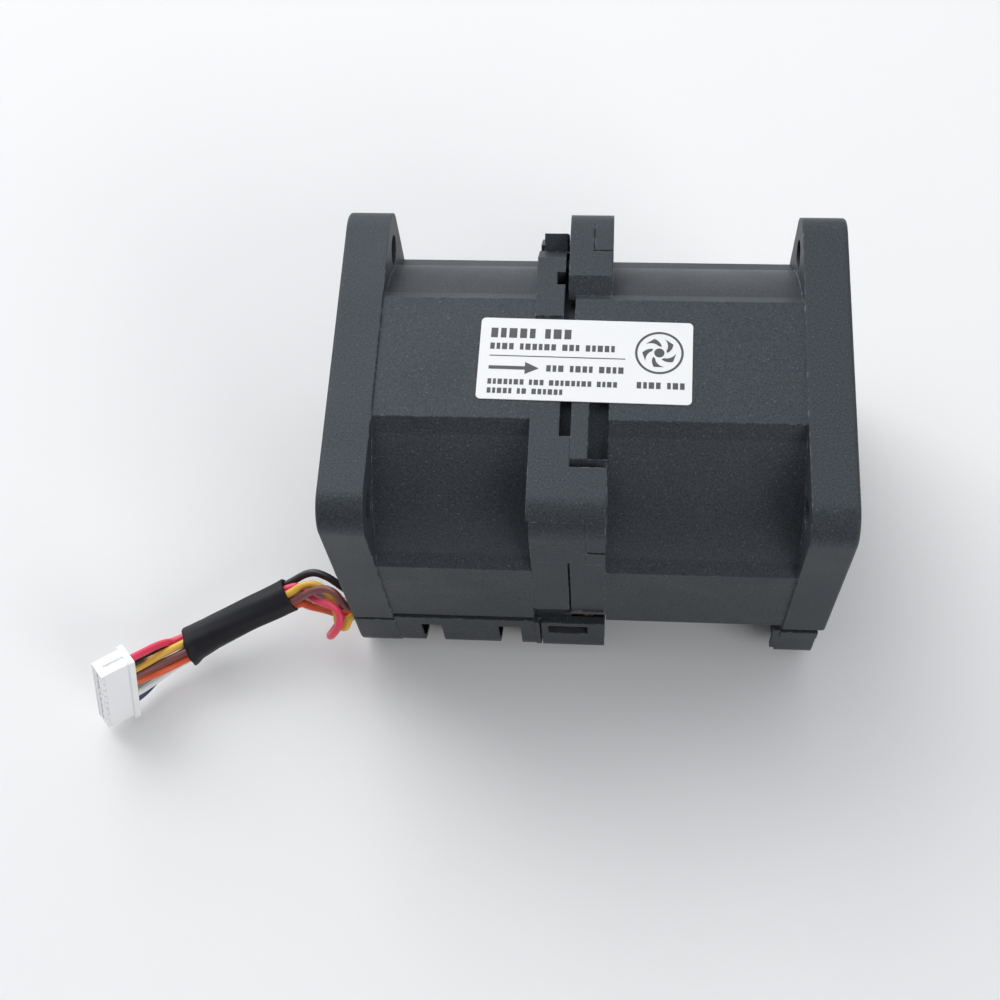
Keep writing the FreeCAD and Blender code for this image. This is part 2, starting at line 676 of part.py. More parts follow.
def stator_core():
    end = CORE_START + CORE_STACK
    shoe = Part.makeCylinder(CORE_R, CORE_STACK, Vector(0, 0, CORE_START), Z_AXIS, POLE_SHOE_ANGLE)
    shoe = shoe.cut(Part.makeCylinder(POLE_SHOE_INNER, CORE_STACK, Vector(0, 0, CORE_START)))
    shoe.rotate(Vector(0, 0, 0), Z_AXIS, -POLE_SHOE_ANGLE / 2.0)
    neck = neck_bar(POLE_NECK, TUBE_R + OVERLAP, (POLE_SHOE_INNER + CORE_R) / 2.0, CORE_START, end)
    pole = neck.fuse(shoe)
    yoke = ring(CORE_RING_R, TUBE_R + SEAT_CLEAR, CORE_START, end)
    return fused([yoke] + pole_pattern(pole))


def insulator(start, end):
    width = POLE_NECK + 2.0 * INSULATOR_OVERHANG
    arm = neck_bar(width, TUBE_R + OVERLAP, POLE_SHOE_INNER, start, end)
    hub = ring(CORE_RING_R, TUBE_R + SEAT_CLEAR, start, end)
    return fused([hub] + pole_pattern(arm))


def upper_insulator():
    start = CORE_START + CORE_STACK
    return insulator(start, start + INSULATOR_THICK)


def lower_insulator():
    plate = insulator(CORE_START - INSULATOR_THICK, CORE_START)
    foot = BOARD_START + BOARD_THICK
    pin = Part.makeCylinder(PIN_R, CORE_START - foot, Vector(PIN_CIRCLE_R, 0, foot))
    return fused([plate] + pole_pattern(pin))


def coils():
    width = POLE_NECK + 2.0 * (INSULATOR_OVERHANG + COIL_CLEAR)
    start = CORE_START - INSULATOR_THICK - COIL_CLEAR
    end = CORE_START + CORE_STACK + INSULATOR_THICK + COIL_CLEAR
    inner = CORE_RING_R + COIL_CLEAR
    half_width = width / 2.0 + COIL_WALL
    outer = math.sqrt(POLE_SHOE_INNER ** 2 - half_width ** 2) - COIL_CLEAR
    hole = neck_bar(width, inner, outer, start, end)
    winding = neck_bar(2.0 * half_width, inner, outer, start - COIL_WALL, end + COIL_WALL)
    winding = winding.makeFillet(COIL_WALL / 2.0, edges_along_x(winding))
    return Part.makeCompound(pole_pattern(winding.cut(hole)))


def circuit_board():
    return ring(BOARD_R, TUBE_R + COIL_CLEAR, BOARD_START, BOARD_START + BOARD_THICK)


def board_piece(size, circle_r, angle):
    along_radius, across, height = size
    corner = Vector(circle_r - along_radius / 2.0, -across / 2.0, BOARD_START + BOARD_THICK)
    piece = Part.makeBox(along_radius, across, height, corner)
    piece.rotate(Vector(0, 0, 0), Z_AXIS, angle)
    return piece


def driver_chip():
    return board_piece(CHIP_SIZE, CHIP_CIRCLE_R, 180.0 / POLE_COUNT)


def hall_sensor():
    return board_piece(HALL_SIZE, HALL_CIRCLE_R, -180.0 / POLE_COUNT)


def capacitors():
    first = 180.0 - 180.0 / POLE_COUNT
    return Part.makeCompound([
        board_piece(CAPACITOR_SIZE, CHIP_CIRCLE_R, first + copy * CAPACITOR_STEP)
        for copy in range(CAPACITOR_COUNT)
    ])


# Rotor pieces, built along Z from the joint plane

def hub_end(fan):
    return FAN_LENGTH[fan] - HUB_RECESS


def boss_start():
    return TUBE_END + BOSS_CLEAR


def blade_section(radius, start, end, sweep, thickness):
    # A thin cambered plate: two arcs and two blunt edges, in the plane tangent to the hub at this radius.
    span = Vector(0, sweep, end - start)
    across = Vector(0, end - start, -sweep).normalize()
    first = Vector(radius, -sweep / 2.0, start)
    last = first + span
    middle = (first + last) * 0.5 + across * (span.Length * BLADE_CAMBER)
    edge = across * (BLADE_EDGE / 2.0)
    half = across * (thickness / 2.0)
    upper = Part.Arc(first + edge, middle + half, last + edge).toShape()
    lower = Part.Arc(last - edge, middle - half, first - edge).toShape()
    nose = Part.LineSegment(first - edge, first + edge).toShape()
    tail = Part.LineSegment(last + edge, last - edge).toShape()
    return Part.Wire([upper, tail, lower, nose])


def impeller(fan, count, root_sweep, tip_sweep):
    top = hub_end(fan)
    hub = Part.makeCylinder(HUB_R, top - HUB_START, Vector(0, 0, HUB_START))
    nose = [edge for edge in hub.Edges if abs(edge.BoundBox.ZMin - top) < CLOSE]
    hub = hub.makeFillet(HUB_NOSE_R, nose)
    end = FAN_LENGTH[fan] - BLADE_RECESS
    sense = FAN_DIRECTION[fan] * FAN_DIRECTION["front"]
    root = blade_section(HUB_R - 2.0 * HUB_WALL, BLADE_START, end, sense * root_sweep, BLADE_ROOT_THICK)
    tip = blade_section(TIP_R, BLADE_START, end, sense * tip_sweep, BLADE_TIP_THICK)
    blade = Part.makeLoft([root, tip], True, True)
    blade = blade.common(Part.makeCylinder(TIP_R, FAN_LENGTH[fan]))
    for copy in range(count):
        turned_blade = blade.copy()
        turned_blade.rotate(Vector(0, 0, 0), Z_AXIS, copy * 360.0 / count)
        hub = hub.fuse(turned_blade)
    cavity = Part.makeCylinder(HUB_R - HUB_WALL, top - HUB_TOP - HUB_START, Vector(0, 0, HUB_START))
    boss = Part.makeCylinder(BOSS_R, top - HUB_TOP - boss_start(), Vector(0, 0, boss_start()))
    bush = Part.makeCylinder(BUSH_R, top - HUB_TOP - boss_start(), Vector(0, 0, boss_start()))
    return hub.cut(cavity).fuse(boss).cut(bush).removeSplitter()


def rotor_yoke(fan):
    outer = HUB_R - HUB_WALL
    top = hub_end(fan) - HUB_TOP
    cup = Part.makeCylinder(outer, top - YOKE_START, Vector(0, 0, YOKE_START))
    hollow = Part.makeCylinder(outer - YOKE_WALL, top - YOKE_WALL - YOKE_START, Vector(0, 0, YOKE_START))
    return cup.cut(hollow).cut(Part.makeCylinder(BOSS_R + SEAT_CLEAR, FAN_LENGTH[fan]))


def ring_magnet():
    outer = HUB_R - HUB_WALL - YOKE_WALL
    return ring(outer, outer - MAGNET_WALL, YOKE_START, YOKE_START + MAGNET_LENGTH)


def clip_start():
    return BEARING_STARTS[0] - CLIP_PLAY - CLIP_THICK


def shaft(fan):
    end = hub_end(fan) - HUB_TOP
    rod = Part.makeCylinder(SHAFT_R, end - SHAFT_START, Vector(0, 0, SHAFT_START))
    return rod.cut(ring(SHAFT_R + OVERLAP, CLIP_GROOVE_R, clip_start(), clip_start() + CLIP_THICK))


def shaft_bush(fan):
    return ring(BUSH_R, SHAFT_R, boss_start(), hub_end(fan) - HUB_TOP)


def retaining_clip():
    disc = ring(CLIP_R, CLIP_GROOVE_R, clip_start(), clip_start() + CLIP_THICK)
    gap = Part.makeBox(CLIP_R, CLIP_GAP, CLIP_THICK, Vector(0, -CLIP_GAP / 2.0, clip_start()))
    return disc.cut(gap)


def preload_spring():
    start = BEARING_STARTS[1] + BEARING_WIDTH + SPRING_WIRE / 2.0
    height = boss_start() - start - SPRING_WIRE / 2.0
    radius = SHAFT_R + RING_WALL
    path = Part.makeHelix(height / SPRING_TURNS, height, radius)
    section = Part.Wire(Part.makeCircle(SPRING_WIRE / 2.0, Vector(radius, 0, 0), Vector(0, 1, 0)))
    coil = Part.Wire(path).makePipeShell([section], True, True)
    coil.translate(Vector(0, 0, start))
    return coil


# Harness

def rounded_path(points, fixed_radius=None):
    # Straight runs joined by tangent arcs, each as large as its shorter run allows.
    edges = []
    start = points[0]
    for before, corner, after in zip(points, points[1:], points[2:]):
        into = (corner - before).normalize()
        out = (after - corner).normalize()
        half_turn = into.getAngle(out) / 2.0
        reach = BEND_SHARE * min(corner.distanceToPoint(before), corner.distanceToPoint(after))
        radius = reach / math.tan(half_turn)
        if fixed_radius is not None:
            radius = fixed_radius
            reach = radius * math.tan(half_turn)
        first = corner - into * reach
        last = corner + out * reach
        inward = (out - into).normalize()
        middle = corner + inward * (radius / math.cos(half_turn) - radius)
        edges.append(Part.LineSegment(start, first).toShape())
        edges.append(Part.Arc(first, middle, last).toShape())
        start = last
    edges.append(Part.LineSegment(start, points[-1]).toShape())
    return Part.Wire(edges)


def tube(path, radius):
    start = path.OrderedVertexes[0].Point
    heading = path.OrderedEdges[0].tangentAt(path.OrderedEdges[0].FirstParameter)
    section = Part.Wire(Part.makeCircle(radius, start, heading))
    return path.makePipeShell([section], True, False)


def fan_leads(fan, layer):
    x = SEAM_X + FAN_DIRECTION[fan] * LEAD_OFFSET
    inward = lead_direction()
    inner_length = layer - LEAD_BOARD_R
    solids = []
    for lane in LANES:
        corner = channel_point(x, layer, lane)
        start = corner - inward * inner_length
        end = channel_point(FRONT_X, layer, lane)
        solids.append(tube(rounded_path([start, corner, end], LEAD_BEND_R), WIRE_R))
    return Part.makeCompound(solids)


# Places of the harness, from the outlet of the first wire
OUTLET = channel_point(FRONT_X, LAYERS[0], LANES[0])
SLEEVE_FAN_END = OUTLET + SLEEVE_FAN_OFFSET
SLEEVE_PLUG_END = OUTLET + SLEEVE_PLUG_OFFSET
CONNECTOR_CORNER = OUTLET + CONNECTOR_OFFSET

# Each wire: its place in the outlet (layer, lane), its angle in the sleeve from the top towards the
# near side (None is the middle), its row in the connector from the top, the points that it passes
# between the outlet and the sleeve, and the points between the sleeve and the connector. The points
# are measured from the outlet of the first wire.
WIRES = {
    "black_wire": (0, 0, -116.0, 1, [(-1.2, 0.34, 0.17), (-2.6, 1.04, 1.07), (-4.2, 1.94, 1.67),
                                     (-6.2, 2.44, 1.77)], [(-24.7, -6.66, -2.33), (-26.2, -8.36, -0.43)]),
    "grey_wire": (0, 2, None, 5, [(-1.3, -1.36, 1.27), (-2.9, -0.56, 0.67), (-4.8, 0.24, -0.03),
                                  (-6.6, 0.94, -0.83)], []),
    "white_wire": (0, 1, 141.0, 6, [(-1.2, -0.66, 0.57), (-2.7, -0.16, -0.43), (-4.4, -0.16, -1.03),
                                    (-6.5, -0.06, -1.43)], []),
    "brown_wire": (0, 3, 38.0, 3, [(-0.95, -2.46, 2.32), (-1.4, -2.36, 3.67), (-2.4, -1.16, 4.27),
                                   (-3.9, -0.56, 3.97), (-5.9, -0.76, 2.87)], []),
    "blue_wire": (1, 1, 192.0, 7, [(-1.3, -1.56, -0.33), (-2.9, -0.76, -1.63), (-4.6, 0.44, -2.43),
                                   (-6.6, 1.14, -2.03)], [(-25.1, -8.96, -5.53)]),
    "orange_wire": (1, 2, 89.0, 4, [(-1.3, -2.36, 0.32), (-2.9, -2.06, -0.78), (-4.6, -1.36, -1.33),
                                    (-6.6, -1.06, -1.23)], [(-24.3, -9.76, -2.63)]),
    "yellow_wire": (1, 3, -14.0, 2, [(-0.9, -3.16, 1.17), (-1.3, -4.36, 0.07), (-2.5, -3.76, -0.23),
                                     (-2.5, -2.46, 0.87), (-3.3, -0.76, 1.87), (-5.0, 0.54, 2.57),
                                     (-7.0, 0.34, 2.27)], []),
    "red_wire": (1, 0, -65.0, 0, [(-1.2, -0.76, -1.23), (-2.4, -1.66, -3.13), (-3.5, -3.36, -3.43),
                                  (-3.8, -4.46, -2.43), (-3.1, -5.06, -0.63), (-2.0, -4.56, 1.37),
                                  (-1.7, -3.46, 2.47), (-2.5, -2.46, 2.77), (-4.2, -1.76, 2.27),
                                  (-5.5, -1.06, 1.37), (-7.0, 0.64, 0.67)], [(-24.2, -6.66, -0.68)]),
}


def sleeve_heading():
    return (SLEEVE_PLUG_END - SLEEVE_FAN_END).normalize()


def sleeve_place(centre, angle):
    if angle is None:
        return centre
    heading = sleeve_heading()
    up = (Z_AXIS - heading * Z_AXIS.dot(heading)).normalize()
    near = up.cross(heading)
    turn = math.radians(angle)
    return centre + (up * math.cos(turn) + near * math.sin(turn)) * BUNDLE_R


def connector_axes():
    up = Vector(CONNECTOR_UP).normalize()
    out = (CONNECTOR_OUT - up * CONNECTOR_OUT.dot(up)).normalize()
    return up, out, up.cross(out)


def connector_length():
    return (len(WIRES) - 1) * CONNECTOR_PITCH + 2.0 * CONNECTOR_END_WALL


def row_offset(row):
    return connector_length() - CONNECTOR_END_WALL - row * CONNECTOR_PITCH


def connector_entry(row):
    up, out, near = connector_axes()
    return CONNECTOR_CORNER + up * row_offset(row) - near * (CONNECTOR_THICK / 2.0)


def in_connector(shape):
    # Places a piece built with the row along Z, the mating side along X and the near side along Y.
    up, out, near = connector_axes()
    origin = CONNECTOR_CORNER - near * CONNECTOR_THICK
    matrix = Matrix(out.x, near.x, up.x, origin.x,
                    out.y, near.y, up.y, origin.y,
                    out.z, near.z, up.z, origin.z,
                    0, 0, 0, 1)
    copy = shape.copy()
    copy.Placement = Placement(matrix)
    return copy


def connector_housing():
    length = connector_length()
    plate = Part.makeBox(CONNECTOR_PLATE, CONNECTOR_THICK, length)
    inner_thick = CONNECTOR_THICK - 2.0 * CONNECTOR_STEP
    inner_length = length - 2.0 * CONNECTOR_STEP
    corner = Vector(0, CONNECTOR_STEP, CONNECTOR_STEP)
    body = Part.makeBox(CONNECTOR_DEPTH, inner_thick, inner_length, corner)
    shell = plate.fuse(body)
    middle = CONNECTOR_THICK / 2.0
    for row in range(len(WIRES)):
        height = row_offset(row)
        entry = Part.makeCylinder(WIRE_R + WIRE_HOLE_CLEAR, WIRE_ENTRY, Vector(0, middle, height), X_AXIS)
        corner = Vector(WIRE_ENTRY, middle - CAVITY_HEIGHT / 2.0, height - CAVITY_WIDTH / 2.0)
        cavity = Part.makeBox(CONNECTOR_DEPTH, CAVITY_HEIGHT, CAVITY_WIDTH, corner)
        shell = shell.cut(entry).cut(cavity)
    return in_connector(shell.removeSplitter())


def connector_terminals():
    middle = CONNECTOR_THICK / 2.0
    terminals = []
    for row in range(len(WIRES)):
        height = row_offset(row)
        corner = Vector(WIRE_ENTRY, middle - TERMINAL_HEIGHT / 2.0, height - TERMINAL_WIDTH / 2.0)
        terminal = Part.makeBox(TERMINAL_LENGTH, TERMINAL_HEIGHT, TERMINAL_WIDTH, corner)
        mouth_x = WIRE_ENTRY + TERMINAL_LENGTH - PIN_SLOT_DEPTH
        mouth = Vector(mouth_x, middle - PIN_SLOT, height - PIN_SLOT / 2.0)
        terminals.append(terminal.cut(Part.makeBox(PIN_SLOT_DEPTH, 2.0 * PIN_SLOT, PIN_SLOT, mouth)))
    return in_connector(Part.makeCompound(terminals))


def sleeve():
    path = SLEEVE_PLUG_END - SLEEVE_FAN_END
    outer = Part.makeCylinder(SLEEVE_R, path.Length, SLEEVE_FAN_END, path)
    return outer.cut(Part.makeCylinder(SLEEVE_R - SLEEVE_WALL, path.Length, SLEEVE_FAN_END, path))


def wire_route(name):
    layer, lane, angle, row, fan_points, plug_points = WIRES[name]
    up, out, near = connector_axes()
    fan_angle = None if angle is None else angle - BUNDLE_TWIST
    route = [channel_point(FRONT_X, LAYERS[layer], LANES[lane])]
    route += [OUTLET + Vector(*point) for point in fan_points]
    route.append(sleeve_place(SLEEVE_FAN_END - sleeve_heading() * SLEEVE_FAN_EXIT, fan_angle))
    route.append(sleeve_place(SLEEVE_PLUG_END + sleeve_heading() * SLEEVE_PLUG_EXIT, angle))
    route += [OUTLET + Vector(*point) for point in plug_points]
    entry = connector_entry(row)
    route.append(entry - out * WIRE_D)
    route.append(entry + out * WIRE_ENTRY)
    return route


def free_wires():
    for name in WIRES:
        path = rounded_path(wire_route(name))
        print(name, "length", round(path.Length, 1))
        keep(name, tube(path, WIRE_R))


def one_fan(fan, blades, root_sweep, tip_sweep, layer):
    fixed = {
        "bearing_tube": bearing_tube(),
        "bearing_outer_rings": outer_rings(),
        "bearing_balls": bearing_balls(),
        "stator_core": stator_core(),
        "upper_insulator": upper_insulator(),
        "lower_insulator": lower_insulator(),
        "coils": coils(),
        "circuit_board": circuit_board(),
        "driver_chip": driver_chip(),
        "hall_sensor": hall_sensor(),
        "capacitors": capacitors(),
    }
    moving = {
        "impeller": impeller(fan, blades, root_sweep, tip_sweep),
        "rotor_yoke": rotor_yoke(fan),
        "ring_magnet": ring_magnet(),
        "shaft": shaft(fan),
        "shaft_bush": shaft_bush(fan),
        "retaining_clip": retaining_clip(),
        "preload_spring": preload_spring(),
        "bearing_inner_rings": inner_rings(),
    }
    for name, shape in {**fixed, **moving}.items():
        keep(fan + "_" + name, on_axis(shape, fan))
    keep(fan + "_leads", fan_leads(fan, layer))


keep("front_frame", front_frame())
keep("rear_frame", rear_frame())
keep("label", label())
one_fan("front", FRONT_BLADES, FRONT_ROOT_SWEEP, FRONT_TIP_SWEEP, LAYERS[0])
one_fan("rear", REAR_BLADES, REAR_ROOT_SWEEP, REAR_TIP_SWEEP, LAYERS[1])
keep("heat_shrink_sleeve", sleeve())
keep("connector_housing", connector_housing())
keep("connector_terminals", connector_terminals())
free_wires()
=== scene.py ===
# Looks of the dual axial cooling fan: camera, light, finishes, wires, sleeve, connector and label.
# Sizes are stated in millimetres and scaled to metres by MM.
import math

import bmesh
import bpy
from mathutils import Matrix
from mathutils import Vector


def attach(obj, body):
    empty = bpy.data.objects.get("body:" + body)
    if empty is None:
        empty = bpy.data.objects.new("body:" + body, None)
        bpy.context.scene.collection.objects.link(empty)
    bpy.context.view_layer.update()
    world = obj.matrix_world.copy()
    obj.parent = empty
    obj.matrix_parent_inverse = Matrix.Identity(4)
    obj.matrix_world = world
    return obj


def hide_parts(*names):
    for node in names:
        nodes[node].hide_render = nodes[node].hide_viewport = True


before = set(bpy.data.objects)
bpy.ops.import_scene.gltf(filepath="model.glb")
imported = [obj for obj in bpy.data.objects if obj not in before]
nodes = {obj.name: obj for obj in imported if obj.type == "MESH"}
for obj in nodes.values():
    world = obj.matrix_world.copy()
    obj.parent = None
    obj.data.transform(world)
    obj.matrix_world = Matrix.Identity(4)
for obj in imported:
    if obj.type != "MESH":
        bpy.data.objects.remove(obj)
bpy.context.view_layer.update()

MM = 0.001
HOUSING = "housing"
ROOT_TWO = math.sqrt(2.0)

# Camera, fitted to the edges of the fan in the photograph
CAMERA_PLACE = Vector((3.02, -81.36, 181.09)) * MM
CAMERA_TARGET = Vector((-12.04, 1.19, 0.0)) * MM
CAMERA_ROLL = math.radians(7.94)
CAMERA_LENS = 54.42
CAMERA_NEAR = 0.005

# Light
SOFTBOX_PLACE = Vector((-420.0, 560.0, 420.0)) * MM
SOFTBOX_SIZE = 700.0 * MM
SOFTBOX_POWER = 3.9
OVERHEAD_PLACE = Vector((-160.0, 260.0, 560.0)) * MM
OVERHEAD_SIZE = 500.0 * MM
OVERHEAD_POWER = 1.3
FILL_PLACE = Vector((350.0, -350.0, 300.0)) * MM
FILL_SIZE = 300.0 * MM
FILL_POWER = 1.05
SKY_COLOUR = (0.90, 0.94, 1.0, 1.0)
SKY_NEAR = 0.18
SKY_FAR = 0.9
FLOOR_HALF = 1.6

# Harness, as in the part's source
WIRE_D = 0.95
FRONT_X = -28.0
AXIS_Z = 20.0
LAYERS = (19.95, 21.03)
LANE_STEP = 1.03
LANES = tuple(2.45 + lane * LANE_STEP for lane in range(4))
SLEEVE_FAN_OFFSET = Vector((-8.8, -0.01, -0.03))
SLEEVE_PLUG_OFFSET = Vector((-21.4, -6.26, -3.03))
SLEEVE_FAN_EXIT = 0.6
SLEEVE_PLUG_EXIT = 1.2
BUNDLE_R = 1.32
BUNDLE_TWIST = -37.0
CONNECTOR_OFFSET = Vector((-27.33, -14.19, -6.89))
CONNECTOR_UP = Vector((1.45, 3.09, 9.4))
CONNECTOR_OUT = Vector((-7.32, -6.05, 3.12))
CONNECTOR_PITCH = 1.25
CONNECTOR_END_WALL = 1.3
CONNECTOR_THICK = 3.2
CONNECTOR_DEPTH = 4.3
CONNECTOR_PLATE = 0.8
CONNECTOR_STEP = 0.3
CAVITY_WIDTH = 1.0
CAVITY_HEIGHT = 1.7
WIRE_ENTRY = 1.2

# Each wire: layer and lane in the outlet, angle in the sleeve (None is the middle), row in the
# connector, the points between the outlet and the sleeve, and those between the sleeve and the
# connector. The points are measured from the outlet of the first wire.
WIRES = {
    "black": (0, 0, -116.0, 1, [(-1.2, 0.34, 0.17), (-2.6, 1.04, 1.07), (-4.2, 1.94, 1.67),
                                (-6.2, 2.44, 1.77)], [(-24.7, -6.66, -2.33), (-26.2, -8.36, -0.43)]),
    "grey": (0, 2, None, 5, [(-1.3, -1.36, 1.27), (-2.9, -0.56, 0.67), (-4.8, 0.24, -0.03),
                             (-6.6, 0.94, -0.83)], []),
    "white": (0, 1, 141.0, 6, [(-1.2, -0.66, 0.57), (-2.7, -0.16, -0.43), (-4.4, -0.16, -1.03),
                               (-6.5, -0.06, -1.43)], []),
    "brown": (0, 3, 38.0, 3, [(-0.95, -2.46, 2.32), (-1.4, -2.36, 3.67), (-2.4, -1.16, 4.27),
                              (-3.9, -0.56, 3.97), (-5.9, -0.76, 2.87)], []),
    "blue": (1, 1, 192.0, 7, [(-1.3, -1.56, -0.33), (-2.9, -0.76, -1.63), (-4.6, 0.44, -2.43),
                              (-6.6, 1.14, -2.03)], [(-25.1, -8.96, -5.53)]),
    "orange": (1, 2, 89.0, 4, [(-1.3, -2.36, 0.32), (-2.9, -2.06, -0.78), (-4.6, -1.36, -1.33),
                               (-6.6, -1.06, -1.23)], [(-24.3, -9.76, -2.63)]),
    "yellow": (1, 3, -14.0, 2, [(-0.9, -3.16, 1.17), (-1.3, -4.36, 0.07), (-2.5, -3.76, -0.23),
                                (-2.5, -2.46, 0.87), (-3.3, -0.76, 1.87), (-5.0, 0.54, 2.57),
                                (-7.0, 0.34, 2.27)], []),
    "red": (1, 0, -65.0, 0, [(-1.2, -0.76, -1.23), (-2.4, -1.66, -3.13), (-3.5, -3.36, -3.43),
                             (-3.8, -4.46, -2.43), (-3.1, -5.06, -0.63), (-2.0, -4.56, 1.37),
                             (-1.7, -3.46, 2.47), (-2.5, -2.46, 2.77), (-4.2, -1.76, 2.27),
                             (-5.5, -1.06, 1.37), (-7.0, 0.64, 0.67)], [(-24.2, -6.66, -0.68)]),
}
WIRE_SIDES = 5
WIRE_STEPS = 12
WIRE_ORDER = 3
WIRE_COLOURS = {
    "black": (0.012, 0.012, 0.014), "grey": (0.20, 0.19, 0.19), "white": (0.75, 0.75, 0.74),
    "brown": (0.17, 0.050, 0.048), "blue": (0.022, 0.020, 0.085), "orange": (0.72, 0.10, 0.025),
    "yellow": (0.66, 0.38, 0.045), "red": (0.70, 0.045, 0.10),
}

# Sleeve: at shares of its length from the fan end, its radius and how far its middle bows away from
# the long side of the slanting cut at the plug end
SLEEVE_PROFILE = ((0.0, 2.15, 0.0), (0.08, 2.1, 0.0), (0.45, 2.04, 0.19), (0.75, 2.08, 0.24),
                  (0.9, 2.2, 0.2), (1.0, 2.45, 0.0))
SLEEVE_WALL = 0.25
SLEEVE_INNER = 1.8
SLEEVE_SLANT = 0.85
SLEEVE_LONG_SIDE = math.radians(145.0)
SLEEVE_SLANT_START = 0.75
SLEEVE_RAGGED = 0.05
RAGGED_WAVES = (3, 8)
SLEEVE_LOBE = 0.045
SLEEVE_LOBES = 7
SLEEVE_LOBE_TWIST = 4.0
SLEEVE_RINGS = 60
SLEEVE_SIDES = 56

# Connector
CONNECTOR_EDGE = 0.07
EDGE_STEPS = 2
OVERLAP = 0.1
CONNECTOR_TOOTH = 0.35
CONNECTOR_TOOTH_GAP = 0.3
PIN_SLOT = 0.3
COVER_THICK = 0.5
COVER_INSET = 0.04
FACE_STEP = 0.02
RAIL_INSET = 0.9
RAIL_PROUD = 0.22

# Label
LABEL_LENGTH = 22.9
LABEL_WIDTH = 10.0
LABEL_THICK = 0.1
LABEL_PLACE = Vector((-0.5, -0.3, 39.75))
LABEL_TURN = math.radians(-0.8)
LABEL_CORNER = 0.5
CORNER_STEPS = 6
PRINT_LIFT = 0.012
PRINT_LEFT = -10.3
PRINT_TALL = 1.2
PRINT_MEDIUM = 0.78
PRINT_SMALL = 0.66
GLYPH_WIDTHS = (0.62, 0.5, 0.72)
GLYPH_GAP = 0.26
WORD_SPACE = 0.62
RULE_THICK = 0.12
FAN_SIGN_PLACE = (7.9, 1.2)
FAN_SIGN_R = 2.6
FAN_SIGN_LINE = 0.26
FAN_SIGN_HUB = 0.55
FAN_SIGN_BLADES = 5
FAN_SIGN_STEPS = 48
BLADE_WIDTH = 0.3
BLADE_SWEEP = 0.5
BACK_SWEEP = 0.7
ARROW_LENGTH = 5.4
ARROW_SHAFT = 0.42
ARROW_HEAD = 1.5
ARROW_Y = -1.15
RULE_Y = 0.25
RULE_END = 4.3
# Rows of the print: left end, bottom, height, and the blocks in each group
PRINT_ROWS = (
    (PRINT_LEFT, 2.55, PRINT_TALL, (5, 3)),
    (PRINT_LEFT, 1.1, PRINT_MEDIUM, (4, 6, 3, 5)),
    (-4.1, -1.5, PRINT_MEDIUM, (3, 4, 4)),
    (PRINT_LEFT, -3.2, PRINT_SMALL, (7, 3, 8, 4)),
    (PRINT_LEFT, -4.3, PRINT_SMALL, (5, 2, 6)),
    (5.6, -3.2, PRINT_MEDIUM, (4, 3)),
)

# Finishes: detail of the noise, the share of it that is spread out, uneven gloss, and scales per metre
NOISE_DETAIL = 3.0
NOISE_LOW = 0.3
NOISE_HIGH = 0.7
GLOSS_SPREAD = 0.06
CLOUD_SCALE = 250.0
GRAIN_SCALE = 4000.0
GRAIN_DEPTH = 0.01 * MM
GRAIN_STRENGTH = 0.6
METAL = 1.0
SPECULAR = 0.5
WIRE_ROUGHNESS = 0.38
WIRE_LIGHTER = 1.18
WIRE_CLOUD = 600.0
LEAD_GLOSS = (0.32, 0.44)
INK_CLOUD = 900.0
FLOOR_DARK = (0.79, 0.785, 0.78)
FLOOR_LIGHT = (0.83, 0.825, 0.82)
FLOOR_ROUGHNESS = 0.9
FLOOR_CLOUD = 14.0
FLOOR_GRAIN = 900.0

# Black plastic: softened edges, where they count as edges, and its lighter edges (partly scuffs, partly a
# painted edge highlight), specks, mottle and grain
FRAME_EDGE = 0.22 * MM
BLADE_EDGE = 0.12 * MM
EDGE_SAMPLES = 6
EDGE_STARTS = 0.995
EDGE_FULL = 0.85
SCUFF_AND_HIGHLIGHT_SCALE = 1100.0
SCUFF_AND_HIGHLIGHT_SHARE = 0.8
SCUFF_AND_HIGHLIGHT_RANGE = (0.5, 0.72)
PLASTIC_CLOUD = 120.0
PLASTIC_GLOSS_SPREAD = 0.05
PLASTIC_GRAIN = 5200.0
PLASTIC_GRAIN_DEPTH = 0.03 * MM
PLASTIC_GRAIN_STRENGTH = 0.8
SPECK_DETAIL = 1.0
SPECK_SHARE = 0.55
SPECK_RANGE = (0.73, 0.81)
MOTTLE_DETAIL = 2.0
MOTTLE_SHARE = 0.9
PLASTIC_SPECULAR = 0.32
PLASTIC_SHEEN = (0.80, 0.92, 1.0, 1.0)
# Lighter edge colour: partly scuff wear, partly a painted edge highlight
SCUFF_AND_PAINTED_HIGHLIGHT_COLOUR = (0.26, 0.27, 0.28)
DUST_COLOUR = (0.26, 0.27, 0.28)
MOTTLE_COLOUR = (0.052, 0.056, 0.062)


# Materials

def make_node(tree, kind, inputs=None, **settings):
    node = tree.nodes.new(kind)
    for name, value in settings.items():
        setattr(node, name, value)
    for name, value in (inputs or {}).items():
        node.inputs[name].default_value = value
    return node


def start_material(name):
    material = bpy.data.materials.new(name)
    material.use_nodes = True
    tree = material.node_tree
    return material, tree, tree.nodes["Principled BSDF"]


def noise(tree, scale, detail=NOISE_DETAIL):
    place = make_node(tree, "ShaderNodeTexCoord")
    texture = make_node(tree, "ShaderNodeTexNoise", {"Scale": scale, "Detail": detail})
    tree.links.new(place.outputs["Object"], texture.inputs["Vector"])
    return texture.outputs["Fac"]


def spread(tree, value, low, high, start=NOISE_LOW, end=NOISE_HIGH):
    ends = {"From Min": start, "From Max": end, "To Min": low, "To Max": high}
    node = make_node(tree, "ShaderNodeMapRange", ends)
    tree.links.new(value, node.inputs["Value"])
    return node.outputs["Result"]


def blend_colours(tree, factor, first, second):
    node = make_node(tree, "ShaderNodeMix", data_type="RGBA")
    tree.links.new(factor, node.inputs["Factor"])
    for socket, colour in ((node.inputs["A"], first), (node.inputs["B"], second)):
        if isinstance(colour, tuple):
            socket.default_value = (*colour, 1.0)
        else:
            tree.links.new(colour, socket)
    return node.outputs["Result"]


